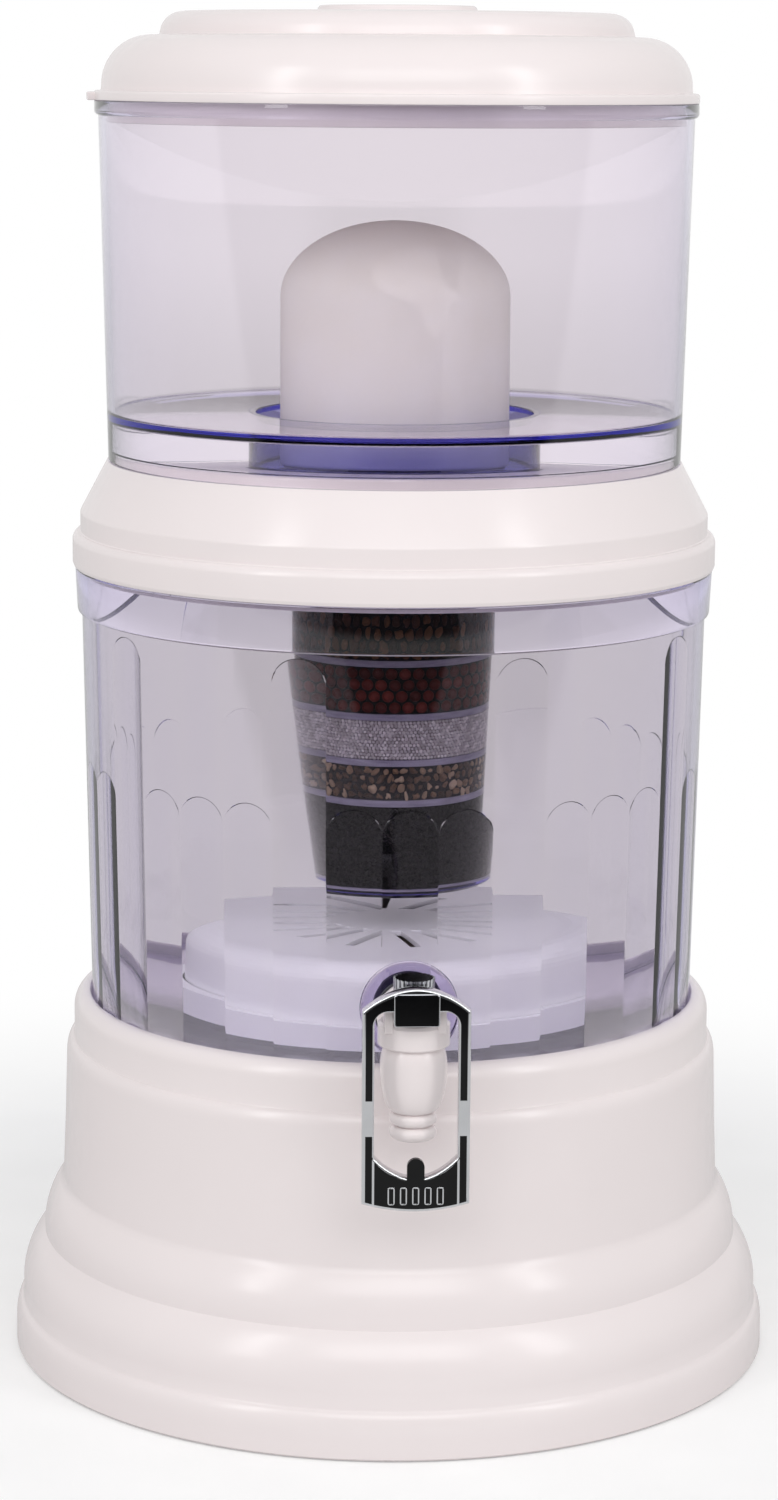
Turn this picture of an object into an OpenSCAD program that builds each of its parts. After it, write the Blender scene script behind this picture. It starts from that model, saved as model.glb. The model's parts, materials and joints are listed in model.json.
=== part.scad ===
// Gravity water filter: a clear upper tank with a ceramic dome filter drains through a
// media cartridge into a clear lower tank with a tap, on a white drum stand.
// Millimetres, +Z up, tap towards -Y. The origin is on the tanks' axis, at floor level.

/* [Stand] */
// Height of the stand, from the floor to the rim round the lower tank
stand_h = 143; // [134:1:160]
// Wall of the stand's shell
stand_wall = 3; // [2:0.1:4]
// Thickness of the deck that carries the lower tank
deck_t = 3; // [2:0.1:4]
// Depth of the seat that the lower tank drops into
seat_depth = 8; // [4:0.5:12]
// Clearance between the lower tank and the seat
seat_gap = 0.6; // [0.4:0.1:1.5]
// Width of the rim round the seat
rim_w = 6.6; // [4:0.1:9]
// Height of the neck below the rim
neck_h = 18; // [15:0.5:22]
// Step from the neck out to the drum
drum_step = 3.1; // [2:0.1:6]
// Height of the round between the neck and the drum
drum_round_h = 7; // [4:0.5:10]
// Flare of the drum from its top to its foot
drum_flare = 1.9; // [0:0.1:4]
// Step from the drum out to the upper tier
tier_step = 7.5; // [4:0.1:9]
// Height of the upper tier's top
tier_top = 67.2; // [60:0.2:74]
// Step from the upper tier out to the band
band_step = 8.6; // [6:0.2:13]
// Height of the band's top
band_top = 46; // [41:0.5:52]
// Height at which the band starts to round over
band_side_top = 25; // [21:0.5:32]
// Step from the band out to the foot
foot_step = 3.05; // [1:0.05:5]
// Height of the foot's top
foot_top = 18; // [14:0.5:20]
// Height of the foot's upright side
foot_side_h = 9; // [4:0.5:12]
// Number of ribs under the deck
rib_count = 8; // [4:1:12]
// Thickness of a rib
rib_t = 2.5; // [1.5:0.1:4]
// Depth of a rib
rib_h = 10; // [4:0.5:16]
// Radius at which the ribs start
rib_start_r = 20; // [10:1:40]

/* [Lower tank] */
// Outer radius of the lower tank at its base
lower_base_r = 118.5; // [110:0.5:128]
// Growth of the lower tank's radius from its base to its rim
lower_flare = 3; // [1:0.1:7]
// Height of the lower tank
lower_h = 177.2; // [165:0.2:220]
// Wall of the lower tank
lower_wall = 3; // [2:0.1:4]
// Thickness of the lower tank's floor
lower_floor = 3.5; // [2:0.1:5]
// Height of the rim band round the lower tank
lower_band_h = 17.3; // [10:0.1:22]
// How far the rim band stands out
lower_band_out = 1.7; // [1:0.1:3]
// Flare of the rim band
lower_band_flare = 0.8; // [0:0.1:2]
// Chamfer under the rim band
lower_band_chamfer = 0.8; // [0.2:0.1:1]

/* [Collar] */
// Height of the collar, from the lower tank's rim to the upper tank
collar_h = 40.7; // [38:0.1:58]
// Wall of the collar
collar_wall = 3; // [2:0.1:4]
// How far the collar's flange stands out past the rim band
collar_overhang = 1; // [0.4:0.1:3]
// Height of the flange's upright side
flange_side_h = 10.1; // [7:0.1:12]
// Height of the round over the flange
flange_round_h = 3.2; // [2:0.1:5]
// Step from the flange in to the lip
flange_step = 3.1; // [2:0.1:5]
// Height of the upright lip
lip_h = 7.7; // [5:0.1:10]
// Depth of the collar's spigot inside the lower tank
collar_spigot_h = 2.5; // [2:0.5:12]
// Wall of the collar's spigot
collar_spigot_t = 2.5; // [1.5:0.1:4]
// Clearance between the collar's spigot and the lower tank
collar_gap = 0.9; // [0.5:0.1:2]
// Height of the lip round the collar's hole
hole_lip_h = 6; // [4:0.5:10]
// Clearance between the upper tank's well and the collar's hole
hole_gap = 0.7; // [0.3:0.1:1.5]
// Margin of the collar's shoulder round the upper tank
shoulder_w = 0.5; // [0.3:0.1:3]
// Rise of the collar's deck inside the upper tank's foot
deck_rise = 4; // [2:0.5:6]
// Clearance between the raised deck and the upper tank's foot
deck_gap = 0.9; // [0.5:0.1:2]

/* [Upper tank] */
// Outer radius of the upper tank at its foot
upper_base_r = 110.9; // [104:0.1:113]
// Growth of the upper tank's radius from its foot to its rim band
upper_flare = 3; // [1:0.1:6]
// Height of the upper tank
upper_h = 136.8; // [125:0.2:180]
// Wall of the upper tank
upper_wall = 2.6; // [2:0.1:4]
// Wall of the skirt below the upper tank's floor
skirt_wall = 3; // [2:0.1:4]
// Height of the skirt below the upper tank's floor
skirt_h = 16.1; // [15.4:0.1:18]
// Height of the thinner bead at the skirt's foot
bead_h = 4.5; // [3:0.5:8]
// How much thinner the bead is than the skirt
bead_in = 1; // [0.5:0.1:1.5]
// Thickness of the upper tank's floor
upper_floor = 2.6; // [2:0.1:4]
// Height of the upper tank's rim band
upper_band_h = 5.3; // [4:0.1:9]
// How far the upper rim band stands out
upper_band_out = 1.6; // [1:0.1:3]
// Outer radius of the round well in the floor
well_r = 56.4; // [54:0.2:64]
// Wall of the well
well_wall = 2.5; // [1.5:0.1:4]
// Depth of the well below the floor
well_depth = 14.8; // [14.2:0.1:15.6]
// Thickness of the well's floor
well_floor = 3; // [2:0.1:4]

/* [Lid] */
// Thickness of the lid's shell
lid_wall = 2.5; // [1.5:0.1:3]
// Height of the lid's flange
lid_flange_h = 3.8; // [3:0.1:6]
// Step from the flange in to the first tier
lid_flange_step = 2.8; // [2:0.1:5]
// Height of the upright foot of the first tier
lid_tier1_side = 2; // [1:0.1:4]
// Radius of the first tier's round
lid_tier1_round = 18.8; // [12:0.1:21]
// Width of the ledge between the tiers
lid_ledge_w = 3.6; // [2:0.1:6]
// Radius of the second tier's round
lid_tier2_round = 8.8; // [6:0.1:12]
// Radius of the plateau on top
plateau_r = 29.8; // [24:0.2:38]
// Height of the plateau
plateau_h = 2.6; // [1.5:0.1:4]
// Depth of the lid's spigot inside the upper tank
lid_spigot_h = 8; // [4:0.5:12]
// Wall of the lid's spigot
lid_spigot_t = 2.2; // [1.5:0.1:3]
// Clearance between the lid's spigot and the upper tank
lid_gap = 0.6; // [0.4:0.1:1.5]
// Reach of the finger tab past the flange
tab_reach = 2.8; // [1:0.2:8]
// Width of the finger tab
tab_w = 26; // [16:1:40]
// Thickness of the finger tab
tab_t = 3.1; // [2:0.1:4]

/* [Ceramic dome] */
// Outer radius of the ceramic dome
dome_r = 44.4; // [40:0.2:48]
// Height of the ceramic dome
dome_h = 87.5; // [72:0.5:105]
// Height of the dome's round top
dome_round_h = 29.2; // [20:0.2:42]
// Wall of the ceramic
dome_wall = 8; // [5:0.5:12]
// Height of the ceramic's foot above the well's floor
dome_lift = 0.6; // [0.3:0.1:0.9]
// Thickness of the plate that closes the dome
dome_plate_t = 4; // [2:0.5:6]
// Gap of the glue line round the plate
dome_glue = 0.1; // [0.05:0.05:0.3]
// Outer radius of the dome's threaded stem
stem_r = 10; // [7:0.5:12]
// Radius of the bore through the stem
stem_bore_r = 3; // [2:0.5:5]
// How far the stem reaches below the well
stem_drop = 27; // [24:0.5:32]
// Clearance of the stem's thread in what it passes through
thread_gap = 0.1; // [0.05:0.05:0.3]
// Clearance of the stem in the well's floor
floor_hole_gap = 0.4; // [0.2:0.1:0.8]
// Radius of the sealing washers on the stem
dome_washer_r = 18; // [15:0.5:24]
// Thickness of a sealing washer on the stem
dome_washer_t = 2; // [1:0.5:3]
// Corner radius of the lock nut
dome_nut_r = 19; // [16:0.5:24]
// Height of the lock nut
dome_nut_h = 8; // [5:0.5:10]

/* [Cartridge] */
// Outer radius of the cartridge's foot
cartridge_foot_r = 34.6; // [30:0.2:38]
// Outer radius of the cartridge's mouth
cartridge_mouth_r = 40.9; // [39:0.1:44]
// Height of the cartridge body
cartridge_h = 135.8; // [130:0.2:142]
// Wall of the cartridge body
cartridge_wall = 2; // [1.5:0.1:3]
// Thickness of the cartridge's floor
cartridge_floor = 2.5; // [1.5:0.1:4]
// Clearance between the media and the cartridge wall
media_gap = 0.1; // [0.05:0.05:0.3]
// Height of the carbon layer
carbon_h = 32.9; // [24:0.1:36]
// Height of the gravel layer
gravel_h = 13.5; // [10:0.1:18]
// Height of the sand layer
sand_h = 15.5; // [10:0.1:20]
// Height of the red ball layer
balls_h = 18.4; // [12:0.1:22]
// Height of the granule layer
granules_h = 23.5; // [14:0.5:28]
// Thickness of the foot screen under the carbon
foot_screen_t = 1; // [0.5:0.1:2]
// Thickness of a screen between two layers
screen_t = 2.5; // [1:0.1:3]
// Number of outlet holes in the cartridge's floor
outlet_count = 12; // [6:1:20]
// Radius of an outlet hole
outlet_r = 1.8; // [1:0.1:2.5]
// Radius of the ring of outlet holes
outlet_ring_r = 22; // [15:0.5:28]
// Height of the cap's skirt
cap_skirt_h = 15; // [8:0.5:20]
// Thickness of the cap's plate
cap_plate_t = 3; // [2:0.1:4]
// Wall of the cap's skirt
cap_wall = 2.2; // [1.5:0.1:3]
// Clearance between the cap's skirt and the body
cap_gap = 0.2; // [0.1:0.05:0.4]
// Outer radius of the cap's neck
cap_neck_r = 14.5; // [13:0.25:18]
// Height of the gasket under the cap
gasket_h = 2.5; // [1.5:0.1:4]
// Radius of the inlet hole in the cap
inlet_r = 4; // [2:0.5:6]

/* [Mineral case] */
// Outer radius of the mineral case's dish
dish_r = 79.5; // [70:0.5:88]
// Height of the dish
dish_h = 7.6; // [5:0.1:12]
// Wall and floor of the dish
dish_wall = 2.2; // [1:0.1:3]
// Clearance between the dish and its cover
case_gap = 0.3; // [0.1:0.1:0.6]
// Height of the cover above the dish's floor
cover_h = 28.7; // [24:0.1:33]
// Wall of the cover
cover_wall = 2; // [1.5:0.1:3]
// Radius of the cover's round shoulder
shoulder_round = 8.5; // [6:0.5:14]
// Number of radial slots in the cover
slot_count = 24; // [12:1:36]
// Width of a slot
slot_w = 3; // [1.5:0.1:4]
// Inner radius of the slots
slot_in_r = 20; // [17:1:27]
// Outer radius of the slots
slot_out_r = 47; // [38:1:58]
// Radius of a mineral stone
stone_r = 8; // [5:0.5:9]
// Distance between the rings of stones
stone_pitch = 18.5; // [16:0.5:22]

/* [Tap body] */
// Height of the tap's shank above the lower tank's floor
tap_up = 24.4; // [22.8:0.1:40]
// Radius of the boss on the tank wall
boss_r = 18; // [15:0.5:18.5]
// How far the boss stands out of the wall
boss_out = 5; // [3:0.5:8]
// How far the boss stands in from the wall
boss_in = 2.4; // [1.5:0.1:4]
// Outer radius of the tap's shank
shank_r = 8; // [6:0.5:9]
// Clearance of the shank in the boss
shank_gap = 0.3; // [0.1:0.1:0.6]
// Radius of the waterway in the shank
waterway_r = 4; // [2.5:0.5:5]
// How far the shank reaches inside past the nut
shank_end = 2; // [1:0.5:5]
// Radius of the tap's rubber washers
tap_washer_r = 13; // [11:0.5:14]
// Thickness of a rubber washer
tap_washer_t = 2; // [1:0.5:3]
// Radius of the tap's wall flange
tap_flange_r = 12.5; // [11:0.5:14]
// Thickness of the tap's wall flange
tap_flange_t = 3; // [2:0.5:4]
// Corner radius of the tap nut
tap_nut_r = 13.5; // [11:0.5:15]
// Height of the tap nut
tap_nut_h = 8; // [5:0.5:10]
// Distance from the wall flange to the nozzle's axis
nozzle_out = 16.5; // [15:0.5:24]
// Outer radius of the nozzle's collar
nozzle_collar_r = 13.3; // [12.4:0.1:13.8]
// Height of the nozzle's collar
nozzle_collar_h = 9.3; // [6:0.1:12]
// Height of the collar's top above the shank's axis
nozzle_top_up = 1.1; // [0:0.1:3]
// Largest radius of the nozzle's bulb
bulb_r = 12.6; // [11.6:0.1:13]
// Height of the nozzle's bulb
bulb_h = 22.3; // [18:0.1:26]
// Radius of the bulb where it meets the rings
throat_r = 7.4; // [7:0.1:8.4]
// Outer radius of the two rings at the nozzle's foot
ring_r = 8.7; // [8:0.1:9.6]
// Height of one ring
ring_h = 5.2; // [3:0.1:6]
// Radius of the outlet bore
outlet_bore_r = 5.5; // [4:0.1:6]
// Length of the outlet bore
outlet_bore_l = 13; // [8:0.5:16]

/* [Tap valve] */
// Radius of the valve chamber
chamber_r = 6.2; // [5.8:0.1:6.6]
// Radius of the valve seat's opening
seat_hole_r = 4; // [3:0.1:4.4]
// Height of the valve seat's opening
seat_hole_h = 4; // [2:0.5:6]
// Outer radius of the stem guide on top
guide_r = 7.4; // [7.2:0.1:8]
// Height of the stem guide above the nozzle's collar
guide_h = 5.4; // [4:0.2:6]
// Thickness of the guide's roof
guide_roof = 4; // [2:0.5:4.5]
// Radius of the valve stem
valve_r = 2.5; // [2:0.1:3]
// Running clearance of the valve stem in its guide
valve_gap = 0.08; // [0.05:0.01:0.1]
// Radius of the rubber seal
seal_r = 5.4; // [5:0.1:5.6]
// Height of the rubber seal
seal_h = 3; // [2:0.5:4]
// Thickness of the stem's flange above the seal
valve_flange_t = 1.5; // [1:0.1:2]
// Radius of the spring's wire
spring_wire_r = 0.4; // [0.3:0.05:0.5]
// Radius of the spring's coil, to the wire's middle
spring_r = 4.2; // [3.6:0.1:4.6]
// Number of turns of the spring
spring_turns = 7; // [5:1:9]
// Radius of the knurled cap on the stem
knob_r = 7.5; // [7:0.1:8.5]
// Height of the knurled cap
knob_h = 6.1; // [4:0.1:9]
// Number of grooves round the cap
knurl_count = 24; // [12:2:36]
// Radius of a groove
knurl_r = 0.7; // [0.4:0.05:0.9]
// Gap between the fork and the knurled cap
fork_gap = 0.3; // [0.2:0.05:0.5]

/* [Tap lever] */
// Distance from the nozzle's axis forward to the lever's pin
pin_out = 7; // [6:0.5:8]
// Height of the pin above the nozzle's collar
pin_up = 9.3; // [8.6:0.1:11]
// Radius of the pin
pin_r = 1.5; // [1:0.1:1.8]
// Running clearance of the lever on its pin
pin_gap = 0.06; // [0.02:0.01:0.1]
// Clearance of the pin in the tap's ears
ear_hole_gap = 0.02; // [0.01:0.01:0.1]
// Thickness of an ear
ear_t = 3.2; // [2:0.1:4]
// Radius of an ear's round end
ear_r = 3.2; // [2.6:0.1:3.4]
// Clearance between the lever's block and an ear
ear_gap = 0.45; // [0.3:0.05:0.8]
// Width of the lever's black block
block_w = 15; // [13.5:0.1:15.4]
// Height of the lever's black block
block_h = 10.8; // [8:0.1:11.2]
// How far the block stands in front of the frame
block_proud = 2; // [0.5:0.25:4]
// Reach of the fork behind the pin
fork_reach = 8; // [7.5:0.25:8.5]
// Thickness of the fork's tines
fork_t = 2.4; // [1.5:0.1:3]
// Clearance between the fork and the valve stem
fork_slot_gap = 0.7; // [0.4:0.1:1]
// Gap between the ears and the frame's back
frame_gap = 0.8; // [0.5:0.1:2]
// Width of the lever's frame
frame_w = 38.8; // [38:0.2:44]
// Height of the lever's frame
frame_h = 81.5; // [78:0.1:90]
// Depth of the lever's frame, front to back
frame_t = 6; // [5:0.25:8]
// Height of the frame's arched top above its pin
frame_top_up = 7.5; // [6:0.1:10]
// Rise of the frame's top arch
frame_arch_h = 7.5; // [5:0.1:9]
// Sag of the frame's round foot
frame_sag_h = 3; // [2:0.1:6]
// Width of the frame's side bars
bar_w = 4.4; // [3.6:0.1:4.8]
// Radius of the window's upper corners
window_round = 5; // [3:0.25:7]
// Height of the frame's solid foot at its middle
plate_h = 12.3; // [10:0.1:16]
// Sag of the window's round foot
window_sag_h = 7.8; // [5:0.1:9]
// Depth of the inlays in the frame's front
inlay_t = 1.6; // [1:0.1:2.5]
// How far the inlays stand proud of the frame
inlay_proud = 0.3; // [0.1:0.1:0.8]
// Fit clearance round an inlay
inlay_gap = 0.1; // [0.05:0.05:0.2]
// Chromed edge outside the inlays
edge_out = 1.1; // [0.8:0.1:1.6]
// Chromed edge inside the inlays
edge_in = 0.6; // [0.4:0.1:1]
// Height above the frame's foot at which the upper inlay ends
upper_inlay_end = 41.2; // [36:0.2:50]
// Height above the frame's foot at which the lower inlay starts
lower_inlay_top = 28.2; // [24:0.2:34]
// Width of the tongue on the lever's plate
tongue_w = 6.5; // [4:0.25:9]
// Height of the tongue's top above the plate's middle
tongue_h = 7.7; // [4:0.1:9]
// How far the tongue runs on into the plate
tongue_root = 2; // [1:0.5:3]
// Height that the fork's top loses for the knob's foot
fork_drop = 0.4; // [0.2:0.1:0.8]
// Step from the frame's top down to the block's top
block_drop = 1.5; // [1:0.1:3]
// Step from the foot of the frame's arch down to the window's top
window_drop = 0.4; // [0.2:0.1:1]
// Thickness of the knob's crown over the stem
knob_crown = 1; // [0.5:0.1:2]
// Chamfer round the top of the nozzle's collar
nozzle_chamfer = 1; // [0.5:0.1:1.5]
// Number of grip ribs on the lever's plate
grip_count = 5; // [3:1:9]
// Width of a grip rib
grip_w = 1.4; // [0.8:0.1:2.5]
// Height of a grip rib
grip_h = 5.4; // [3:0.2:7]
// Distance between two grip ribs
grip_pitch = 4.4; // [3:0.1:6]
// How far a grip rib stands out
grip_out = 0.5; // [0.3:0.1:1]

/* [Edges] */
// Small bevel at the foot of the upper tank and on the collar's flange
edge_small = 0.5; // [0.2:0.1:0.8]
// Bevel of rims, wells, decks and the dome's foot
edge_mid = 1; // [0.5:0.1:1.2]
// Bevel of the lid's flange, the cartridge's foot and the top of the collar's flange edge
edge_large = 1.5; // [1:0.1:2]
// Bevel of the lower tank's foot
edge_foot = 2; // [1:0.1:2.5]
// Height of the round under the stand's rim
rim_round_h = 7; // [4:0.5:9]

/* [Hidden] */
$fn = 96;

// A cut runs this far past the face that it opens
over = 1;

// Heights of the stack, from the floor up
deck_z = stand_h - seat_depth;
lower_floor_z = deck_z + lower_floor;
lower_rim_z = deck_z + lower_h;
lower_band_z = lower_rim_z - lower_band_h;
collar_top_z = lower_rim_z + collar_h;
upper_under_z = collar_top_z + skirt_h;
upper_floor_z = upper_under_z + upper_floor;
well_floor_z = upper_floor_z - well_depth;
well_under_z = well_floor_z - well_floor;
upper_rim_z = collar_top_z + upper_h;
upper_band_z = upper_rim_z - upper_band_h;
lid_tier1_z = upper_rim_z + lid_flange_h + lid_tier1_side + lid_tier1_round;
lid_tier2_z = lid_tier1_z + lid_tier2_round;

// Radii of the two tanks at any height
function lower_r(z) = lower_base_r + lower_flare * (z - deck_z) / (lower_band_z - deck_z);
function upper_r(z) = upper_base_r + upper_flare * (z - collar_top_z) / (upper_band_z - collar_top_z);

// Radii of the stand, from the seat out to the foot
seat_r = lower_r(stand_h) + seat_gap;
neck_r = seat_r + rim_w;
drum_r = neck_r + drum_step;
tier_r = drum_r + drum_flare + tier_step;
band_r = tier_r + band_step;
foot_r = band_r + foot_step;
drum_top = stand_h - neck_h - drum_round_h;

// Radii of the collar
lower_band_r = lower_r(lower_band_z) + lower_band_out;
lower_rim_r = lower_band_r + lower_band_flare;
flange_r = lower_rim_r + collar_overhang;
lip_r = flange_r - flange_step;
shoulder_r = upper_base_r + shoulder_w;
collar_spigot_r = lower_r(lower_rim_z - collar_spigot_h) - lower_wall - collar_gap;
hole_r = well_r + hole_gap;
deck_r = upper_base_r - skirt_wall + bead_in - deck_gap;
lip_foot_z = lower_rim_z + flange_side_h + flange_round_h;

// Radii of the upper tank's rim and of the lid
upper_rim_r = upper_r(upper_band_z) + upper_band_out;
lid_tier1_r = upper_rim_r - lid_flange_step;
lid_tier2_r = lid_tier1_r - lid_tier1_round - lid_ledge_w;
lid_spigot_r = upper_r(upper_rim_z - lid_spigot_h) - upper_wall - lid_gap;

// The dome and its stem
dome_foot_z = well_floor_z + dome_lift;
dome_bore_r = dome_r - dome_wall;
dome_plate_z = well_floor_z + dome_washer_t;
stem_foot_z = well_under_z - stem_drop;
dome_nut_z = well_under_z - dome_washer_t - dome_nut_h;

// The cartridge hangs on the stem
cap_plate_top_z = stem_foot_z;
cap_plate_z = cap_plate_top_z - cap_plate_t;
cartridge_mouth_z = cap_plate_z - gasket_h;
cartridge_foot_z = cartridge_mouth_z - cartridge_h;
cap_neck_top_z = dome_nut_z - over;
cap_bore_r = cartridge_mouth_r + cap_gap;
function cartridge_r(z) = cartridge_foot_r
    + (cartridge_mouth_r - cartridge_foot_r) * (z - cartridge_foot_z) / cartridge_h;
foot_screen_z = cartridge_foot_z + cartridge_floor;
carbon_z = foot_screen_z + foot_screen_t;
gravel_z = carbon_z + carbon_h + screen_t;
sand_z = gravel_z + gravel_h + screen_t;
balls_z = sand_z + sand_h + screen_t;
granules_z = balls_z + balls_h + screen_t;
granules_top_z = granules_z + granules_h;

// The mineral case
dish_floor_z = lower_floor_z + dish_wall;
cover_r = dish_r - dish_wall - case_gap;
cover_top_z = dish_floor_z + cover_h;
stone_rings = floor((cover_r - cover_wall - stone_r) / stone_pitch);

// The tap, along -Y from the tank wall
tap_z = lower_floor_z + tap_up;
boss_face_y = -(lower_r(tap_z) + boss_out);
boss_inner_y = -(lower_r(tap_z) - lower_wall - boss_in);
tap_flange_y = boss_face_y - tap_washer_t - tap_flange_t;
nozzle_y = tap_flange_y - nozzle_out;
tap_nut_y = boss_inner_y + tap_washer_t;
shank_end_y = tap_nut_y + tap_nut_h + shank_end;
nozzle_top_z = tap_z + nozzle_top_up;
bulb_top_z = nozzle_top_z - nozzle_collar_h;
ring_top_z = bulb_top_z - bulb_h;
nozzle_foot_z = ring_top_z - 2 * ring_h;
chamber_foot_z = nozzle_foot_z + outlet_bore_l + seat_hole_h;
guide_top_z = nozzle_top_z + guide_h;
chamber_top_z = guide_top_z - guide_roof;
stem_hole_top_z = max(guide_top_z, tap_z + shank_r) + over;

// The lever and the valve
pin_y = nozzle_y - pin_out;
pin_z = nozzle_top_z + pin_up;
frame_back_y = pin_y - ear_r - frame_gap;
frame_front_y = frame_back_y - frame_t;
frame_top_z = pin_z + frame_top_up;
frame_foot_z = frame_top_z - frame_h;
bar_in_x = frame_w / 2 - bar_w;
fork_top_z = pin_z + fork_t - fork_drop;
knob_z = fork_top_z + fork_gap;
knob_top_z = knob_z + knob_h;
block_top_z = frame_top_z - block_drop;
block_front_y = frame_front_y - block_proud;
plate_top_z = frame_foot_z + plate_h;
window_top_z = frame_top_z - frame_arch_h - window_drop;
ear_in_x = block_w / 2 + ear_gap;
seal_top_z = chamber_foot_z + seal_h;
valve_flange_top_z = seal_top_z + valve_flange_t;

// An arc of an ellipse, as points, from angle a to angle b
function ellipse_arc(r, z, rise_r, rise_z, a, b, steps = 8) =
    [for (i = [0:steps]) [r + rise_r * cos(a + (b - a) * i / steps), z + rise_z * sin(a + (b - a) * i / steps)]];

// A round that leaves (r, z) upright and leans in by d over the height h, as points
function lean_arc(r, z, d, h, steps = 8) =
    let (rho = (d * d + h * h) / (2 * d), turn = asin(h / rho))
    [for (i = [0:steps]) [r - rho * (1 - cos(turn * i / steps)), z + rho * sin(turn * i / steps)]];

// A ring between two radii and two heights
module ring(outer, inner, z0, z1) {
    translate([0, 0, z0])
        difference() {
            cylinder(r = outer, h = z1 - z0);
            translate([0, 0, -over])
                cylinder(r = inner, h = z1 - z0 + 2 * over);
        }
}

// A cylinder along Y on the axis of the tap's shank
module along_y(r, y0, y1, z = tap_z) {
    translate([0, y1, z])
        rotate([90, 0, 0])
            cylinder(r = r, h = y1 - y0);
}

// A tapered slice of the cartridge's filling
module slice(z0, z1) {
    inset = cartridge_wall + media_gap;
    translate([0, 0, z0])
        cylinder(r1 = cartridge_r(z0) - inset, r2 = cartridge_r(z1) - inset, h = z1 - z0);
}

// Side of the stand, from the foot up to the deck, moved in by t
function stand_side(t) = concat(
    [[foot_r - t, 0]],
    [[foot_r - t, foot_side_h]],
    ellipse_arc(band_r - t, foot_side_h, foot_step, foot_top - foot_side_h, 0, 90),
    lean_arc(band_r - t, band_side_top, band_step, band_top - band_side_top),
    lean_arc(tier_r - t, band_top, tier_step, tier_top - band_top),
    [[drum_r + drum_flare - t, tier_top]],
    ellipse_arc(neck_r - t, drum_top, drum_step, drum_round_h, 0, 90));

module stand() {
    rim_round = rim_w - edge_mid;
    color("whitesmoke")
        union() {
            difference() {
                rotate_extrude()
                    polygon(concat(
                        [[0, 0]],
                        stand_side(0),
                        ellipse_arc(neck_r - rim_round, stand_h - rim_round_h, rim_round, rim_round_h, 0, 90),
                        [[0, stand_h]]));
                rotate_extrude()
                    polygon(concat(
                        [[0, -over]],
                        [[foot_r - stand_wall, -over]],
                        stand_side(stand_wall),
                        [[neck_r - stand_wall, deck_z - deck_t]],
                        [[0, deck_z - deck_t]]));
                translate([0, 0, deck_z])
                    cylinder(r = seat_r, h = seat_depth + over);
            }
            for (i = [0:rib_count - 1])
                rotate([0, 0, i * 360 / rib_count])
                    translate([rib_start_r, -rib_t / 2, deck_z - deck_t - rib_h])
                        cube([neck_r - stand_wall - rib_start_r, rib_t, rib_h + deck_t / 2]);
        }
}

module lower_tank() {
    color("lavender", 0.4)
        difference() {
            union() {
                rotate_extrude()
                    polygon([
                        [0, deck_z],
                        [lower_base_r - edge_foot, deck_z],
                        [lower_base_r, deck_z + edge_foot],
                        [lower_r(lower_band_z), lower_band_z],
                        [lower_band_r - lower_band_chamfer, lower_band_z],
                        [lower_band_r, lower_band_z + lower_band_chamfer],
                        [lower_rim_r, lower_rim_z],
                        [lower_r(lower_rim_z) - lower_wall, lower_rim_z],
                        [lower_r(lower_floor_z) - lower_wall, lower_floor_z],
                        [0, lower_floor_z]]);
                along_y(boss_r, boss_face_y, boss_inner_y);
            }
            along_y(shank_r + shank_gap, boss_face_y - over, boss_inner_y + over);
        }
}

module collar() {
    inner_lip_r = lip_r - collar_wall;
    color("whitesmoke")
        rotate_extrude()
            polygon(concat(
                [[collar_spigot_r, lower_rim_z - collar_spigot_h]],
                [[collar_spigot_r, lower_rim_z]],
                [[flange_r - edge_small, lower_rim_z]],
                [[flange_r, lower_rim_z + edge_large]],
                [[flange_r, lower_rim_z + flange_side_h]],
                ellipse_arc(lip_r, lower_rim_z + flange_side_h, flange_step, flange_round_h, 0, 90),
                [[lip_r, lip_foot_z + lip_h]],
                [[shoulder_r, collar_top_z]],
                [[deck_r, collar_top_z]],
                [[deck_r, collar_top_z + deck_rise - edge_mid]],
                [[deck_r - edge_mid, collar_top_z + deck_rise]],
                [[hole_r, collar_top_z + deck_rise]],
                [[hole_r, collar_top_z - hole_lip_h]],
                [[hole_r + collar_wall, collar_top_z - hole_lip_h]],
                [[hole_r + collar_wall, collar_top_z + deck_rise - collar_wall]],
                [[deck_r - collar_wall, collar_top_z + deck_rise - collar_wall]],
                [[deck_r - collar_wall, collar_top_z - collar_wall]],
                [[shoulder_r - collar_wall / 2, collar_top_z - collar_wall]],
                [[inner_lip_r, lip_foot_z + lip_h - collar_wall / 2]],
                [[inner_lip_r, lip_foot_z - collar_wall]],
                [[collar_spigot_r - collar_spigot_t, lower_rim_z + collar_wall]],
                [[collar_spigot_r - collar_spigot_t, lower_rim_z - collar_spigot_h]]));
}

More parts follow.
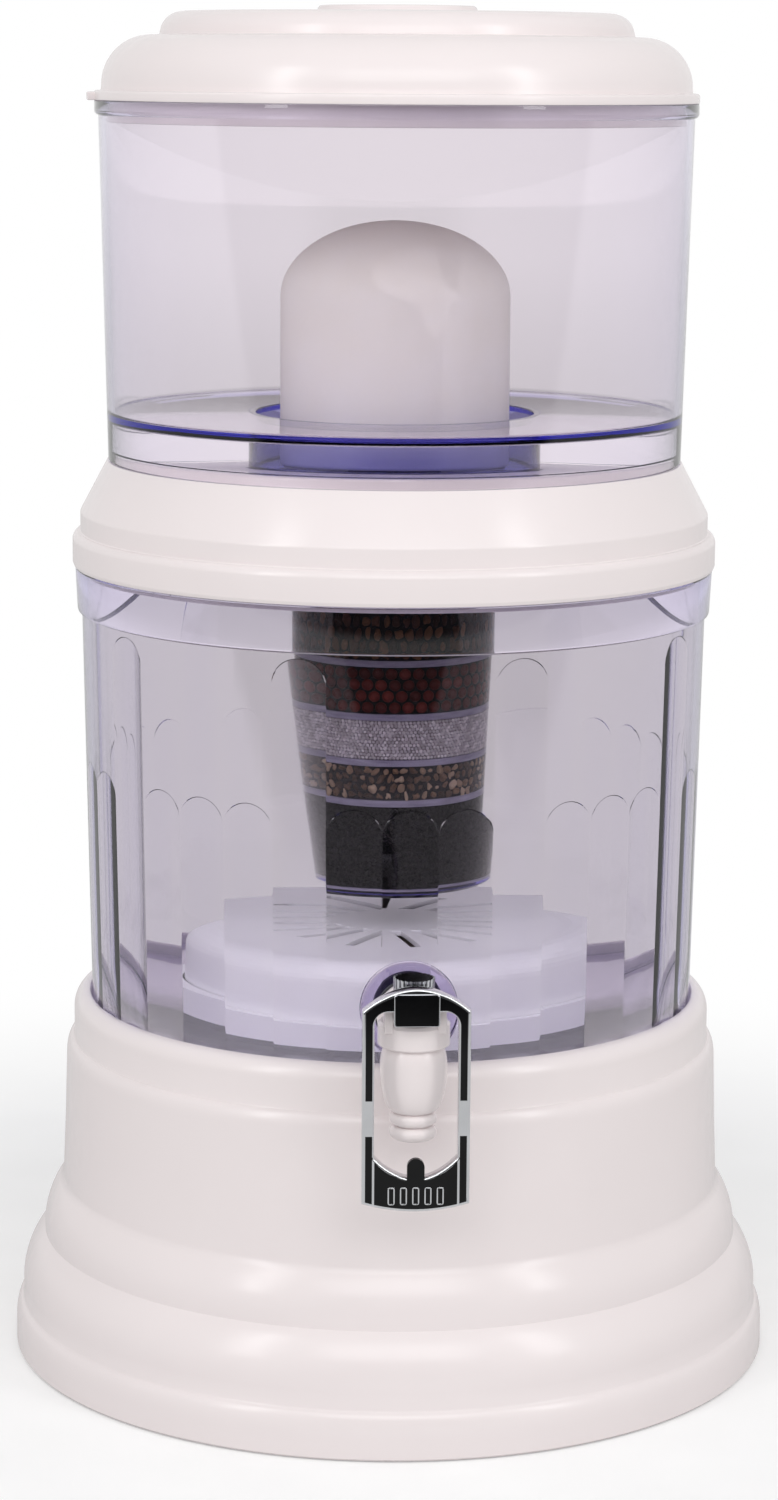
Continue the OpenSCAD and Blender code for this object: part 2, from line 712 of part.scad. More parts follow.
module upper_tank() {
    bead_r = upper_base_r - skirt_wall + bead_in;
    color("lavender", 0.4)
        difference() {
            rotate_extrude()
                polygon([
                    [0, well_under_z],
                    [well_r - edge_mid, well_under_z],
                    [well_r, well_under_z + edge_mid],
                    [well_r, upper_under_z],
                    [upper_r(upper_under_z) - skirt_wall, upper_under_z],
                    [upper_r(collar_top_z + bead_h) - skirt_wall, collar_top_z + bead_h],
                    [bead_r, collar_top_z + bead_h],
                    [bead_r, collar_top_z],
                    [upper_base_r - edge_small, collar_top_z],
                    [upper_base_r, collar_top_z + edge_small],
                    [upper_r(upper_band_z), upper_band_z],
                    [upper_rim_r - edge_mid, upper_band_z],
                    [upper_rim_r, upper_band_z + edge_mid],
                    [upper_rim_r, upper_rim_z],
                    [upper_r(upper_rim_z) - upper_wall, upper_rim_z],
                    [upper_r(upper_floor_z) - upper_wall, upper_floor_z],
                    [well_r - well_wall, upper_floor_z],
                    [well_r - well_wall, well_floor_z],
                    [0, well_floor_z]]);
            translate([0, 0, well_under_z - over])
                cylinder(r = stem_r + floor_hole_gap, h = well_floor + 2 * over);
        }
}

// Outer side of the lid above its flange, moved in by t
function lid_side(t) = concat(
    [[lid_tier1_r - t, upper_rim_z + lid_flange_h]],
    ellipse_arc(lid_tier1_r - lid_tier1_round, upper_rim_z + lid_flange_h + lid_tier1_side,
        lid_tier1_round - t, lid_tier1_round - t, 0, 90),
    ellipse_arc(lid_tier2_r - lid_tier2_round, lid_tier1_z,
        lid_tier2_round - t, lid_tier2_round - t, 0, 90));

module lid() {
    under_z = lid_tier2_z - lid_wall;
    color("whitesmoke")
        union() {
            rotate_extrude()
                polygon(concat(
                    [[lid_spigot_r, upper_rim_z - lid_spigot_h]],
                    [[lid_spigot_r, upper_rim_z]],
                    [[upper_rim_r, upper_rim_z]],
                    [[upper_rim_r, upper_rim_z + lid_flange_h - edge_large]],
                    [[upper_rim_r - edge_large, upper_rim_z + lid_flange_h]],
                    lid_side(0),
                    [[plateau_r + edge_mid, lid_tier2_z]],
                    [[plateau_r, lid_tier2_z + edge_mid]],
                    [[plateau_r, lid_tier2_z + plateau_h - edge_mid]],
                    [[plateau_r - edge_mid, lid_tier2_z + plateau_h]],
                    [[0, lid_tier2_z + plateau_h]],
                    [[0, lid_tier2_z + plateau_h - lid_wall]],
                    [[plateau_r - lid_wall, lid_tier2_z + plateau_h - lid_wall]],
                    [[plateau_r - lid_wall, under_z]],
                    [for (i = [len(lid_side(lid_wall)) - 1:-1:0]) lid_side(lid_wall)[i]],
                    [[lid_tier1_r - lid_wall, upper_rim_z + lid_wall]],
                    [[lid_spigot_r - lid_spigot_t, upper_rim_z]],
                    [[lid_spigot_r - lid_spigot_t, upper_rim_z - lid_spigot_h]]));
            difference() {
                translate([-upper_rim_r - tab_reach, -tab_w / 2, upper_rim_z])
                    cube([tab_reach + lid_flange_step, tab_w, tab_t]);
                ring(2 * upper_rim_r, upper_rim_r + tab_reach, upper_rim_z - over, upper_rim_z + tab_t + over);
            }
        }
}

module ceramic_dome() {
    side_h = dome_h - dome_round_h;
    color("linen")
        rotate_extrude()
            polygon(concat(
                [[dome_bore_r, dome_foot_z]],
                [[dome_r - edge_mid, dome_foot_z]],
                [[dome_r, dome_foot_z + edge_mid]],
                ellipse_arc(0, dome_foot_z + side_h, dome_r, dome_round_h, 0, 90, 12),
                ellipse_arc(0, dome_foot_z + side_h, dome_bore_r, dome_round_h - dome_wall, 90, 0, 12)));
}

module dome_base() {
    color("gainsboro")
        difference() {
            union() {
                translate([0, 0, dome_plate_z])
                    cylinder(r = dome_bore_r - dome_glue, h = dome_plate_t);
                translate([0, 0, stem_foot_z])
                    cylinder(r = stem_r, h = dome_plate_z - stem_foot_z + dome_plate_t / 2);
            }
            translate([0, 0, stem_foot_z - over])
                cylinder(r = stem_bore_r, h = dome_plate_z + dome_plate_t - stem_foot_z + 2 * over);
        }
}

module dome_washer_upper() {
    color("dimgray")
        ring(dome_washer_r, stem_r + thread_gap, well_floor_z, well_floor_z + dome_washer_t);
}

module dome_washer_lower() {
    color("dimgray")
        ring(dome_washer_r, stem_r + thread_gap, well_under_z - dome_washer_t, well_under_z);
}

module dome_nut() {
    color("white")
        translate([0, 0, dome_nut_z])
            difference() {
                cylinder(r = dome_nut_r, h = dome_nut_h, $fn = 6);
                translate([0, 0, -over])
                    cylinder(r = stem_r + thread_gap, h = dome_nut_h + 2 * over);
            }
}

module cartridge_cap() {
    skirt_r = cap_bore_r + cap_wall;
    color("gainsboro")
        difference() {
            union() {
                translate([0, 0, cap_plate_top_z - cap_skirt_h])
                    cylinder(r = skirt_r, h = cap_skirt_h);
                translate([0, 0, cap_plate_top_z - over])
                    cylinder(r = cap_neck_r, h = cap_neck_top_z - cap_plate_top_z + over);
            }
            translate([0, 0, cap_plate_top_z - cap_skirt_h - over])
                cylinder(r = cap_bore_r, h = cap_skirt_h - cap_plate_t + over);
            translate([0, 0, cap_plate_top_z])
                cylinder(r = stem_r + thread_gap, h = cap_neck_top_z - cap_plate_top_z + over);
            translate([0, 0, cap_plate_z - over])
                cylinder(r = inlet_r, h = cap_plate_t + 2 * over);
        }
}

module cartridge_gasket() {
    color("dimgray")
        ring(cartridge_mouth_r, cartridge_mouth_r - 2 * cartridge_wall, cartridge_mouth_z, cap_plate_z);
}

module cartridge_body() {
    inner_foot_r = cartridge_r(foot_screen_z) - cartridge_wall;
    color("lavender", 0.4)
        difference() {
            rotate_extrude()
                polygon([
                    [0, cartridge_foot_z],
                    [cartridge_foot_r - edge_large, cartridge_foot_z],
                    [cartridge_r(cartridge_foot_z + edge_large), cartridge_foot_z + edge_large],
                    [cartridge_mouth_r, cartridge_mouth_z],
                    [cartridge_mouth_r - cartridge_wall, cartridge_mouth_z],
                    [inner_foot_r, foot_screen_z],
                    [0, foot_screen_z]]);
            for (i = [0:outlet_count - 1])
                rotate([0, 0, i * 360 / outlet_count])
                    translate([outlet_ring_r, 0, cartridge_foot_z - over])
                        cylinder(r = outlet_r, h = cartridge_floor + 2 * over);
        }
}

module cartridge_screens() {
    color("white") {
        slice(foot_screen_z, carbon_z);
        slice(gravel_z - screen_t, gravel_z);
        slice(sand_z - screen_t, sand_z);
        slice(balls_z - screen_t, balls_z);
        slice(granules_z - screen_t, granules_z);
        slice(granules_top_z, granules_top_z + screen_t);
    }
}

module media_granules() {
    color("saddlebrown")
        slice(granules_z, granules_top_z);
}

module media_red_balls() {
    color("maroon")
        slice(balls_z, balls_z + balls_h);
}

module media_sand() {
    color("silver")
        slice(sand_z, sand_z + sand_h);
}

module media_gravel() {
    color("tan")
        slice(gravel_z, gravel_z + gravel_h);
}

module media_carbon() {
    color("black")
        slice(carbon_z, carbon_z + carbon_h);
}

module mineral_dish() {
    color("white")
        difference() {
            translate([0, 0, lower_floor_z])
                cylinder(r = dish_r, h = dish_h);
            translate([0, 0, dish_floor_z])
                cylinder(r = dish_r - dish_wall, h = dish_h);
        }
}

module mineral_cover() {
    shoulder_z = cover_top_z - shoulder_round;
    color("white")
        difference() {
            rotate_extrude()
                polygon(concat(
                    [[cover_r - cover_wall, dish_floor_z]],
                    [[cover_r, dish_floor_z]],
                    ellipse_arc(cover_r - shoulder_round, shoulder_z, shoulder_round, shoulder_round, 0, 90),
                    [[0, cover_top_z]],
                    [[0, cover_top_z - cover_wall]],
                    ellipse_arc(cover_r - shoulder_round, shoulder_z,
                        shoulder_round - cover_wall, shoulder_round - cover_wall, 90, 0)));
            for (i = [0:slot_count - 1])
                rotate([0, 0, (i + 0.5) * 360 / slot_count])
                    translate([slot_in_r, -slot_w / 2, cover_top_z - cover_wall - over])
                        cube([slot_out_r - slot_in_r, slot_w, cover_wall + 2 * over]);
        }
}

// One stone in the middle and rings of six more each round it
module mineral_stones() {
    color("darkkhaki") {
        translate([0, 0, dish_floor_z + stone_r])
            sphere(r = stone_r, $fn = 32);
        for (k = [1:stone_rings])
            for (i = [0:6 * k - 1])
                rotate([0, 0, i * 60 / k])
                    translate([k * stone_pitch, 0, dish_floor_z + stone_r])
                        sphere(r = stone_r, $fn = 32);
    }
}

// Nozzle, shank, wall flange, valve chamber and the two ears, as one moulding
module tap_body() {
    bead_r = ring_h / 2;
    color("ghostwhite")
        difference() {
            union() {
                translate([0, nozzle_y, 0])
                    rotate_extrude()
                        polygon(concat(
                            [[0, nozzle_foot_z]],
                            ellipse_arc(ring_r - bead_r, nozzle_foot_z + bead_r, bead_r, bead_r, -90, 90, 6),
                            ellipse_arc(ring_r - bead_r, nozzle_foot_z + 3 * bead_r, bead_r, bead_r, -90, 90, 6),
                            ellipse_arc(throat_r, bulb_top_z, bulb_r - throat_r, bulb_h, -90, 0, 8),
                            [[nozzle_collar_r, bulb_top_z]],
                            [[nozzle_collar_r, nozzle_top_z - nozzle_chamfer]],
                            [[nozzle_collar_r - nozzle_chamfer, nozzle_top_z]],
                            [[guide_r, nozzle_top_z]],
                            [[guide_r, guide_top_z]],
                            [[0, guide_top_z]]));
                along_y(shank_r, nozzle_y, shank_end_y);
                along_y(tap_flange_r, tap_flange_y, tap_flange_y + tap_flange_t);
                for (side = [-1, 1])
                    translate([side * (ear_in_x + ear_t / 2) - ear_t / 2, 0, 0]) {
                        translate([0, pin_y - ear_r, nozzle_top_z - over])
                            cube([ear_t, 2 * ear_r, pin_up + over]);
                        translate([0, pin_y, pin_z])
                            rotate([0, 90, 0])
                                cylinder(r = ear_r, h = ear_t);
                    }
            }
            translate([0, nozzle_y, nozzle_foot_z - over])
                cylinder(r = outlet_bore_r, h = outlet_bore_l + over);
            translate([0, nozzle_y, nozzle_foot_z])
                cylinder(r = seat_hole_r, h = chamber_foot_z - nozzle_foot_z + over);
            translate([0, nozzle_y, chamber_foot_z])
                cylinder(r = chamber_r, h = chamber_top_z - chamber_foot_z);
            translate([0, nozzle_y, chamber_top_z - over])
                cylinder(r = valve_r + valve_gap, h = stem_hole_top_z - chamber_top_z + over);
            along_y(waterway_r, nozzle_y, shank_end_y + over);
            translate([-frame_w / 2, pin_y, pin_z])
                rotate([0, 90, 0])
                    cylinder(r = pin_r + ear_hole_gap, h = frame_w);
        }
}

module tap_washer_outer() {
    color("dimgray")
        difference() {
            along_y(tap_washer_r, boss_face_y - tap_washer_t, boss_face_y);
            along_y(shank_r + thread_gap, boss_face_y - tap_washer_t - over, boss_face_y + over);
        }
}

module tap_washer_inner() {
    color("dimgray")
        difference() {
            along_y(tap_washer_r, boss_inner_y, tap_nut_y);
            along_y(shank_r + thread_gap, boss_inner_y - over, tap_nut_y + over);
        }
}

module tap_nut() {
    color("white")
        difference() {
            translate([0, tap_nut_y + tap_nut_h, tap_z])
                rotate([90, 0, 0])
                    cylinder(r = tap_nut_r, h = tap_nut_h, $fn = 6);
            along_y(shank_r + thread_gap, tap_nut_y - over, tap_nut_y + tap_nut_h + over);
        }
}

module lever_pin() {
    half = ear_in_x + ear_t;
    color("silver")
        translate([-half, pin_y, pin_z])
            rotate([0, 90, 0])
                cylinder(r = pin_r, h = 2 * half);
}

module valve_stem() {
    color("white")
        translate([0, nozzle_y, 0])
            union() {
                translate([0, 0, seal_top_z])
                    cylinder(r = valve_r, h = knob_top_z - knob_crown - seal_top_z);
                translate([0, 0, seal_top_z])
                    cylinder(r = seal_r, h = valve_flange_t);
            }
}

module valve_seal() {
    color("dimgray")
        translate([0, nozzle_y, chamber_foot_z])
            cylinder(r = seal_r, h = seal_h);
}

// Points of the spring's wire: rings of six points along one helix
spring_foot_z = valve_flange_top_z + spring_wire_r;
spring_rise = chamber_top_z - spring_wire_r - spring_foot_z;
spring_steps = 8 * spring_turns;
spring_sides = 6;
spring_points = [for (i = [0:spring_steps]) for (j = [0:spring_sides - 1])
    let (turn = 360 * spring_turns * i / spring_steps, spin = 360 * j / spring_sides)
    let (reach = spring_r + spring_wire_r * cos(spin))
    [reach * cos(turn), nozzle_y + reach * sin(turn),
        spring_foot_z + spring_rise * i / spring_steps + spring_wire_r * sin(spin)]];
spring_faces = concat(
    [[for (j = [0:spring_sides - 1]) j]],
    [[for (j = [spring_sides - 1:-1:0]) spring_steps * spring_sides + j]],
    [for (i = [0:spring_steps - 1]) for (j = [0:spring_sides - 1])
        let (a = i * spring_sides + j, b = i * spring_sides + (j + 1) % spring_sides)
        [a, a + spring_sides, b + spring_sides]],
    [for (i = [0:spring_steps - 1]) for (j = [0:spring_sides - 1])
        let (a = i * spring_sides + j, b = i * spring_sides + (j + 1) % spring_sides)
        [a, b + spring_sides, b]]);

module valve_spring() {
    color("silver")
        polyhedron(points = spring_points, faces = spring_faces);
}

module valve_knob() {
    color("silver")
        translate([0, nozzle_y, knob_z])
            difference() {
                cylinder(r = knob_r, h = knob_h);
                translate([0, 0, -over])
                    cylinder(r = valve_r, h = knob_h - knob_crown + over);
                for (i = [0:knurl_count - 1])
                    rotate([0, 0, i * 360 / knurl_count])
                        translate([knob_r, 0, -over])
                            cylinder(r = knurl_r, h = knob_h + 2 * over, $fn = 16);
            }
}

// The outline of the lever's frame in its own plane: x across, y up
module frame_outline(inset = 0) {
    half = frame_w / 2;
    arch_r = (half * half + frame_arch_h * frame_arch_h) / (2 * frame_arch_h);
    sag_r = (half * half + frame_sag_h * frame_sag_h) / (2 * frame_sag_h);
    intersection() {
        translate([-half + inset, frame_foot_z - over])
            square([frame_w - 2 * inset, frame_h + 2 * over]);
        union() {
            translate([0, frame_top_z - arch_r])
                circle(r = arch_r - inset);
            translate([-half, frame_foot_z - over])
                square([frame_w, frame_h - arch_r + over]);
        }
        translate([0, frame_foot_z + sag_r])
            circle(r = sag_r - inset);
    }
}

// The window that the nozzle stands in, grown by extra on all sides but its round corners
module window_outline(extra = 0) {
    half = bar_in_x + extra;
    sag_r = (bar_in_x * bar_in_x + window_sag_h * window_sag_h) / (2 * window_sag_h);
    corner_z = window_top_z - window_round;
    union() {
        intersection() {
            translate([-half, plate_top_z - extra])
                square([2 * half, corner_z - plate_top_z + extra]);
            union() {
                translate([0, plate_top_z + sag_r])
                    circle(r = sag_r + extra);
                translate([-half, plate_top_z + sag_r])
                    square([2 * half, window_top_z - plate_top_z - sag_r]);
            }
        }
        translate([-bar_in_x + window_round, corner_z - over])
            square([2 * (bar_in_x - window_round), window_round + over + extra]);
        for (side = [-1, 1])
            translate([side * (bar_in_x - window_round), corner_z])
                circle(r = window_round + extra);
    }
}

// Carries an outline from the frame's plane to a slab between two depths
module slab(y0, y1) {
    translate([0, y1, 0])
        rotate([90, 0, 0])
            linear_extrude(height = y1 - y0)
                children();
}

// The black inlay that runs over the top and down both sides
module upper_inlay_outline(gap = 0) {
    foot = frame_foot_z + upper_inlay_end;
    difference() {
        frame_outline(edge_out + gap);
        window_outline(edge_in + gap);
        translate([-frame_w, frame_foot_z - over])
            square([2 * frame_w, foot - frame_foot_z + over + gap]);
        translate([-block_w / 2 - gap, window_top_z - over])
            square([block_w + 2 * gap, 2 * frame_arch_h]);
    }
}

// The black inlays of the two bars' lower ends
module lower_inlay_outline(gap = 0) {
    top = frame_foot_z + lower_inlay_top;
    intersection() {
        frame_outline(edge_out + gap);
        for (side = [-1, 1])
            translate([side * (frame_w / 2 - bar_w / 2) - bar_w / 2, frame_foot_z])
                translate([side < 0 ? 0 : edge_in + gap, 0])
                    square([bar_w - edge_in - gap, top - frame_foot_z - gap]);
    }
}

// The black plate at the foot, between the two bars
module plate_outline(gap = 0) {
    sag_r = (bar_in_x * bar_in_x + window_sag_h * window_sag_h) / (2 * window_sag_h);
    difference() {
        intersection() {
            frame_outline(edge_out + gap);
            translate([-bar_in_x + gap, frame_foot_z])
                square([2 * bar_in_x - 2 * gap, frame_h / 2]);
        }
        translate([0, plate_top_z + sag_r])
            circle(r = sag_r + edge_in + gap);
        translate([-frame_w, plate_top_z + window_sag_h - edge_in])
            square([2 * frame_w, frame_h]);
    }
}

// The tongue on the plate, from under the window's edge up to its round top
module tongue_outline(gap = 0) {
    middle_z = plate_top_z + tongue_h - tongue_w / 2;
    foot_z = plate_top_z - edge_in - tongue_root;
    union() {
        translate([-tongue_w / 2 + gap, foot_z])
            square([tongue_w - 2 * gap, middle_z - foot_z]);
        translate([0, middle_z])
            circle(r = tongue_w / 2 - gap);
    }
}

module lever_frame() {
    pocket_y = frame_front_y + inlay_t;
    color("silver")
        difference() {
            slab(frame_front_y, frame_back_y)
                difference() {
                    frame_outline();
                    window_outline();
                    translate([-block_w / 2, window_top_z - over])
                        square([block_w, 2 * frame_arch_h]);
                }
            slab(frame_front_y - over, pocket_y)
                upper_inlay_outline();
            slab(frame_front_y - over, pocket_y)
                lower_inlay_outline();
            slab(frame_front_y - over, pocket_y)
                plate_outline();
            slab(frame_front_y - over, pocket_y)
                tongue_outline();
        }
}

module lever_inlay_upper() {
    color("black")
        slab(frame_front_y - inlay_proud, frame_front_y + inlay_t)
            upper_inlay_outline(inlay_gap);
}

module lever_inlay_lower() {
    color("black")
        slab(frame_front_y - inlay_proud, frame_front_y + inlay_t)
            lower_inlay_outline(inlay_gap);
}

// The plate with its tongue and a row of plain grip ribs
module lever_plate() {
    grip_z = frame_foot_z + plate_h / 2 - grip_h / 2;
    first_x = -grip_pitch * (grip_count - 1) / 2;
    color("black")
        union() {
            slab(frame_front_y - inlay_proud, frame_front_y + inlay_t)
                plate_outline(inlay_gap);
            slab(frame_front_y - inlay_proud, frame_front_y + inlay_t)
                tongue_outline(inlay_gap);
            for (i = [0:grip_count - 1])
                translate([first_x + i * grip_pitch - grip_w / 2, frame_front_y - inlay_proud - grip_out, grip_z])
                    cube([grip_w, grip_out + inlay_proud, grip_h]);
        }
}

// The black block on the pin, with the fork that lifts the valve's knob
module lever_core() {
    block_foot_z = block_top_z - block_h;
    slot = valve_r + fork_slot_gap;
    heel_y = pin_y + ear_r;
    color("black")
        difference() {
            union() {
                translate([-block_w / 2, block_front_y, block_foot_z])
                    cube([block_w, frame_back_y - block_front_y, block_h]);
                translate([-block_w / 2, frame_back_y - over, pin_z - ear_r])
                    cube([block_w, pin_y - frame_back_y + over, ear_r + fork_top_z - pin_z]);
                translate([-block_w / 2, pin_y, pin_z - fork_t / 2])
                    cube([block_w, fork_reach, fork_top_z - pin_z + fork_t / 2]);
                translate([-block_w / 2, pin_y, pin_z])
                    rotate([0, 90, 0])
                        cylinder(r = fork_top_z - pin_z, h = block_w);
            }
            translate([-block_w, pin_y, pin_z])
                rotate([0, 90, 0])
                    cylinder(r = pin_r + pin_gap, h = 2 * block_w);
            translate([-slot, nozzle_y - slot, pin_z - ear_r])
                cube([2 * slot, heel_y + fork_reach - nozzle_y + slot, 3 * ear_r]);
        }
}

stand();
lower_tank();
collar();
upper_tank();
lid();
ceramic_dome();
dome_base();
dome_washer_upper();
dome_washer_lower();
dome_nut();
cartridge_cap();
cartridge_gasket();
cartridge_body();
cartridge_screens();
media_granules();
media_red_balls();
media_sand();
media_gravel();
media_carbon();
mineral_dish();
mineral_cover();
mineral_stones();
tap_body();
tap_washer_outer();
tap_washer_inner();
tap_nut();
lever_pin();
valve_stem();
valve_seal();
valve_spring();
valve_knob();
lever_core();
lever_frame();
lever_inlay_upper();
lever_inlay_lower();
lever_plate();
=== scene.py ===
"""Gravity water filter with a lever tap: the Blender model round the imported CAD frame.

Sizes of the pieces are in millimetres; lamps, floor and camera are placed in metres.
"""

import json
import math

import bpy
import numpy as np
from mathutils import Matrix, Vector


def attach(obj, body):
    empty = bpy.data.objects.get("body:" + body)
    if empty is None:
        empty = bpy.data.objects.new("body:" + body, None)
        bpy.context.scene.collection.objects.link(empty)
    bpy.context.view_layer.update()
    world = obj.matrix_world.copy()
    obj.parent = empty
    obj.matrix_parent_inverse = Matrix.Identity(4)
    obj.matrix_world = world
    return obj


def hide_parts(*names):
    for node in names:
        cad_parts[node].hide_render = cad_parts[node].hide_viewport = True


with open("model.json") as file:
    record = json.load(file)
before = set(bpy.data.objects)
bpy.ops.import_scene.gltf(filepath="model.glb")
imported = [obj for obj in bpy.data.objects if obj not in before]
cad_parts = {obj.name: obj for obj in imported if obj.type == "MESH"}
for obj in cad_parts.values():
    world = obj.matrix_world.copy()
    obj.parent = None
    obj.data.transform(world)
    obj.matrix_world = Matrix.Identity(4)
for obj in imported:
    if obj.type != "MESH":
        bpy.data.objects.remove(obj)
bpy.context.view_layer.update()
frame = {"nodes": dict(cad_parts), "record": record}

MM = 0.001
STEPS = 288  # points round a turned piece
ROUND = 4  # rows of points on a plate's rounded edge
KEEP_FLAT = 1.06  # inset, in bevels, of the row that keeps a rounded plate's face flat

# Heights and radii of the stack, as in the CAD
DECK_Z = 135.0
LOWER_UNDER_Z, LOWER_FLOOR_Z, LOWER_BAND_Z, LOWER_RIM_Z = 135.1, 138.5, 294.9, 312.2
COLLAR_Z = 352.9
UPPER_UNDER_Z, UPPER_FLOOR_Z, UPPER_BAND_Z, UPPER_RIM_Z = 369.0, 371.6, 484.4, 489.7
UPPER_WALL, LOWER_WALL = 2.6, 3.0
WELL_R, WELL_IN_R, WELL_Z, WELL_FLOOR_Z = 56.4, 53.9, 353.8, 356.8
STEM_HOLE_R, RIM_R = 10.4, 115.4
SKIRT, BEAD_R, BEAD_Z = 3.0, 108.9, 357.4  # the skirt's wall, and the bead inside its foot
CUP_FOOT_Z, CUP_RIM_Z = 185.5, 321.3
TAP_Z, NOZZLE_Y = 162.9, -145.52
PIN_Y, PIN_Z = -152.52, 173.3
AIR = 0.06  # gap kept between clear and solid faces that touch, so that neither hides the other


def lower_r(z):
    """Outer radius of the lower tank's wall at height z: 118.5 + 3 (z - 135) / 159.9."""
    return 118.5 + 3.0 * (z - DECK_Z) / (LOWER_BAND_Z - DECK_Z)


def upper_r(z):
    """Outer radius of the upper tank's wall at height z: 110.9 + 3 (z - 352.9) / 131.5."""
    return 110.9 + 3.0 * (z - COLLAR_Z) / (UPPER_BAND_Z - COLLAR_Z)


def cartridge_r(z):
    """Outer radius of the cartridge at height z: 34.6 + 6.3 (z - 185.5) / 135.8."""
    return 34.6 + 6.3 * (z - CUP_FOOT_Z) / (CUP_RIM_Z - CUP_FOOT_Z)


# ---------------------------------------------------------------- outlines


def arc(r, z, reach_r, reach_z, start, end, count=10):
    """Points (r + reach_r cos a, z + reach_z sin a) of an ellipse, a from start to end in degrees."""
    return [
        (r + reach_r * math.cos(a), z + reach_z * math.sin(a))
        for a in np.radians(np.linspace(start, end, count))
    ]


def lean(r, z, inward, height, count=10):
    """A round that leaves (r, z) upright and ends at (r - i, z + h): its radius is (i^2 + h^2) / 2i."""
    rho = (inward**2 + height**2) / (2 * inward)
    return arc(r - rho, z, rho, rho, 0, math.degrees(math.asin(height / rho)), count)


def bow(half, z, rise, count):
    """Points (x, z + rise (x / half)^2), x from -half to half. A negative half runs them the other way."""
    return [(x, z + rise * (x / half) ** 2) for x in np.linspace(-half, half, count)]


def sharp(points):
    """Outline points that soften leaves as they are."""
    return [(r, z, 0) for r, z in points]


def soften(corners, count=5):
    """Rounds a closed outline of (x, y, radius) corners.

    Each arc is the curve (1-t)^2 A + 2t(1-t) C + t^2 B, where A and B lie one tangent length of the
    radius from corner C. The length is at most 0.45 of the shorter side.
    """
    p = np.array([c[:2] for c in corners], float)
    out = []
    for i, (c, radius) in enumerate(zip(p, [c[2] for c in corners])):
        a, b = p[i - 1] - c, p[(i + 1) % len(p)] - c
        la, lb = np.linalg.norm(a), np.linalg.norm(b)
        cosine = np.clip(a @ b / (la * lb), -0.9999, 0.9999)
        reach = min(radius * math.sqrt((1 + cosine) / (1 - cosine)), 0.45 * min(la, lb))
        if reach < 1e-3:
            out.append(tuple(c))
            continue
        a, b = c + a / la * reach, c + b / lb * reach
        steps = np.linspace(0, 1, count)
        out += [tuple((1 - t) ** 2 * a + 2 * t * (1 - t) * c + t * t * b) for t in steps]
    return out


# ---------------------------------------------------------------- skins


def outward(verts, faces):
    """A closed skin with its faces turned outward, so that the sum of a . (b x c) over them is above 0."""
    verts = np.asarray(verts, float)
    volume = 0.0
    for size in {len(f) for f in faces}:
        f = np.array([q for q in faces if len(q) == size])
        for k in range(1, size - 1):
            a, b, c = verts[f[:, 0]], verts[f[:, k]], verts[f[:, k + 1]]
            volume += np.einsum("ij,ij->", a, np.cross(b, c))
    return verts, (faces if volume > 0 else [f[::-1] for f in faces])


def join(*skins):
    """Several skins as one."""
    verts, faces, start = [], [], 0
    for v, f in skins:
        verts.append(v)
        faces += [tuple(i + start for i in q) for q in f]
        start += len(v)
    return np.concatenate(verts), faces


def loft(rows, low=None, high=None):
    """Joins rings of points, all with the same count, into one closed skin.

    It ends in the points low and high. Without them it runs from the last ring back to the first.
    """
    n, m = len(rows), len(rows[0])
    verts = np.concatenate(rows)
    j = np.arange(m)
    k = (j + 1) % m
    a = np.arange(n if low is None and high is None else n - 1)[:, None] * m
    b = (a + m) % (n * m)
    faces = np.stack([a + j, a + k, b + k, b + j], -1).reshape(-1, 4).tolist()
    for point, row, order in ((low, 0, 1), (high, n - 1, -1)):
        if point is not None:
            ring = np.stack([row * m + k, row * m + j, np.full(m, len(verts))], 1)
            faces += ring[:, ::order].tolist()
            verts = np.vstack([verts, point])
    return outward(verts, faces)


def turn(outline, steps=STEPS, at=(0.0, 0.0)):
    """Turns an outline (r, z) about the upright line through at: p = (x + r cos t, y + r sin t, z).

    An end on the axis becomes a pole.
    """
    t = np.linspace(0, 2 * math.pi, steps, endpoint=False)
    on_axis = [i for i, p in enumerate(outline) if p[0] < 1e-6]
    if len(on_axis) == 2 and on_axis[1] == on_axis[0] + 1:
        outline = [*outline[on_axis[1] :], *outline[: on_axis[1]]]
    rings = [
        np.stack([at[0] + r * np.cos(t), at[1] + r * np.sin(t), np.full(steps, z)], 1)
        for r, z in outline
        if r > 1e-6
    ]
    poles = [(at[0], at[1], p[1]) if p[0] < 1e-6 else None for p in (outline[0], outline[-1])]
    return loft(rings, *poles)


def lay(skin, origin=(0, 0, 0), turned=(0, 0, 0)):
    """A skin turned about X, Y and Z in turn, in degrees, then moved to origin."""
    m = np.eye(3)
    for axis, angle in zip("XYZ", turned):
        m = np.array(Matrix.Rotation(math.radians(angle), 3, axis)) @ m
    return skin[0] @ m.T + np.array(origin), skin[1]


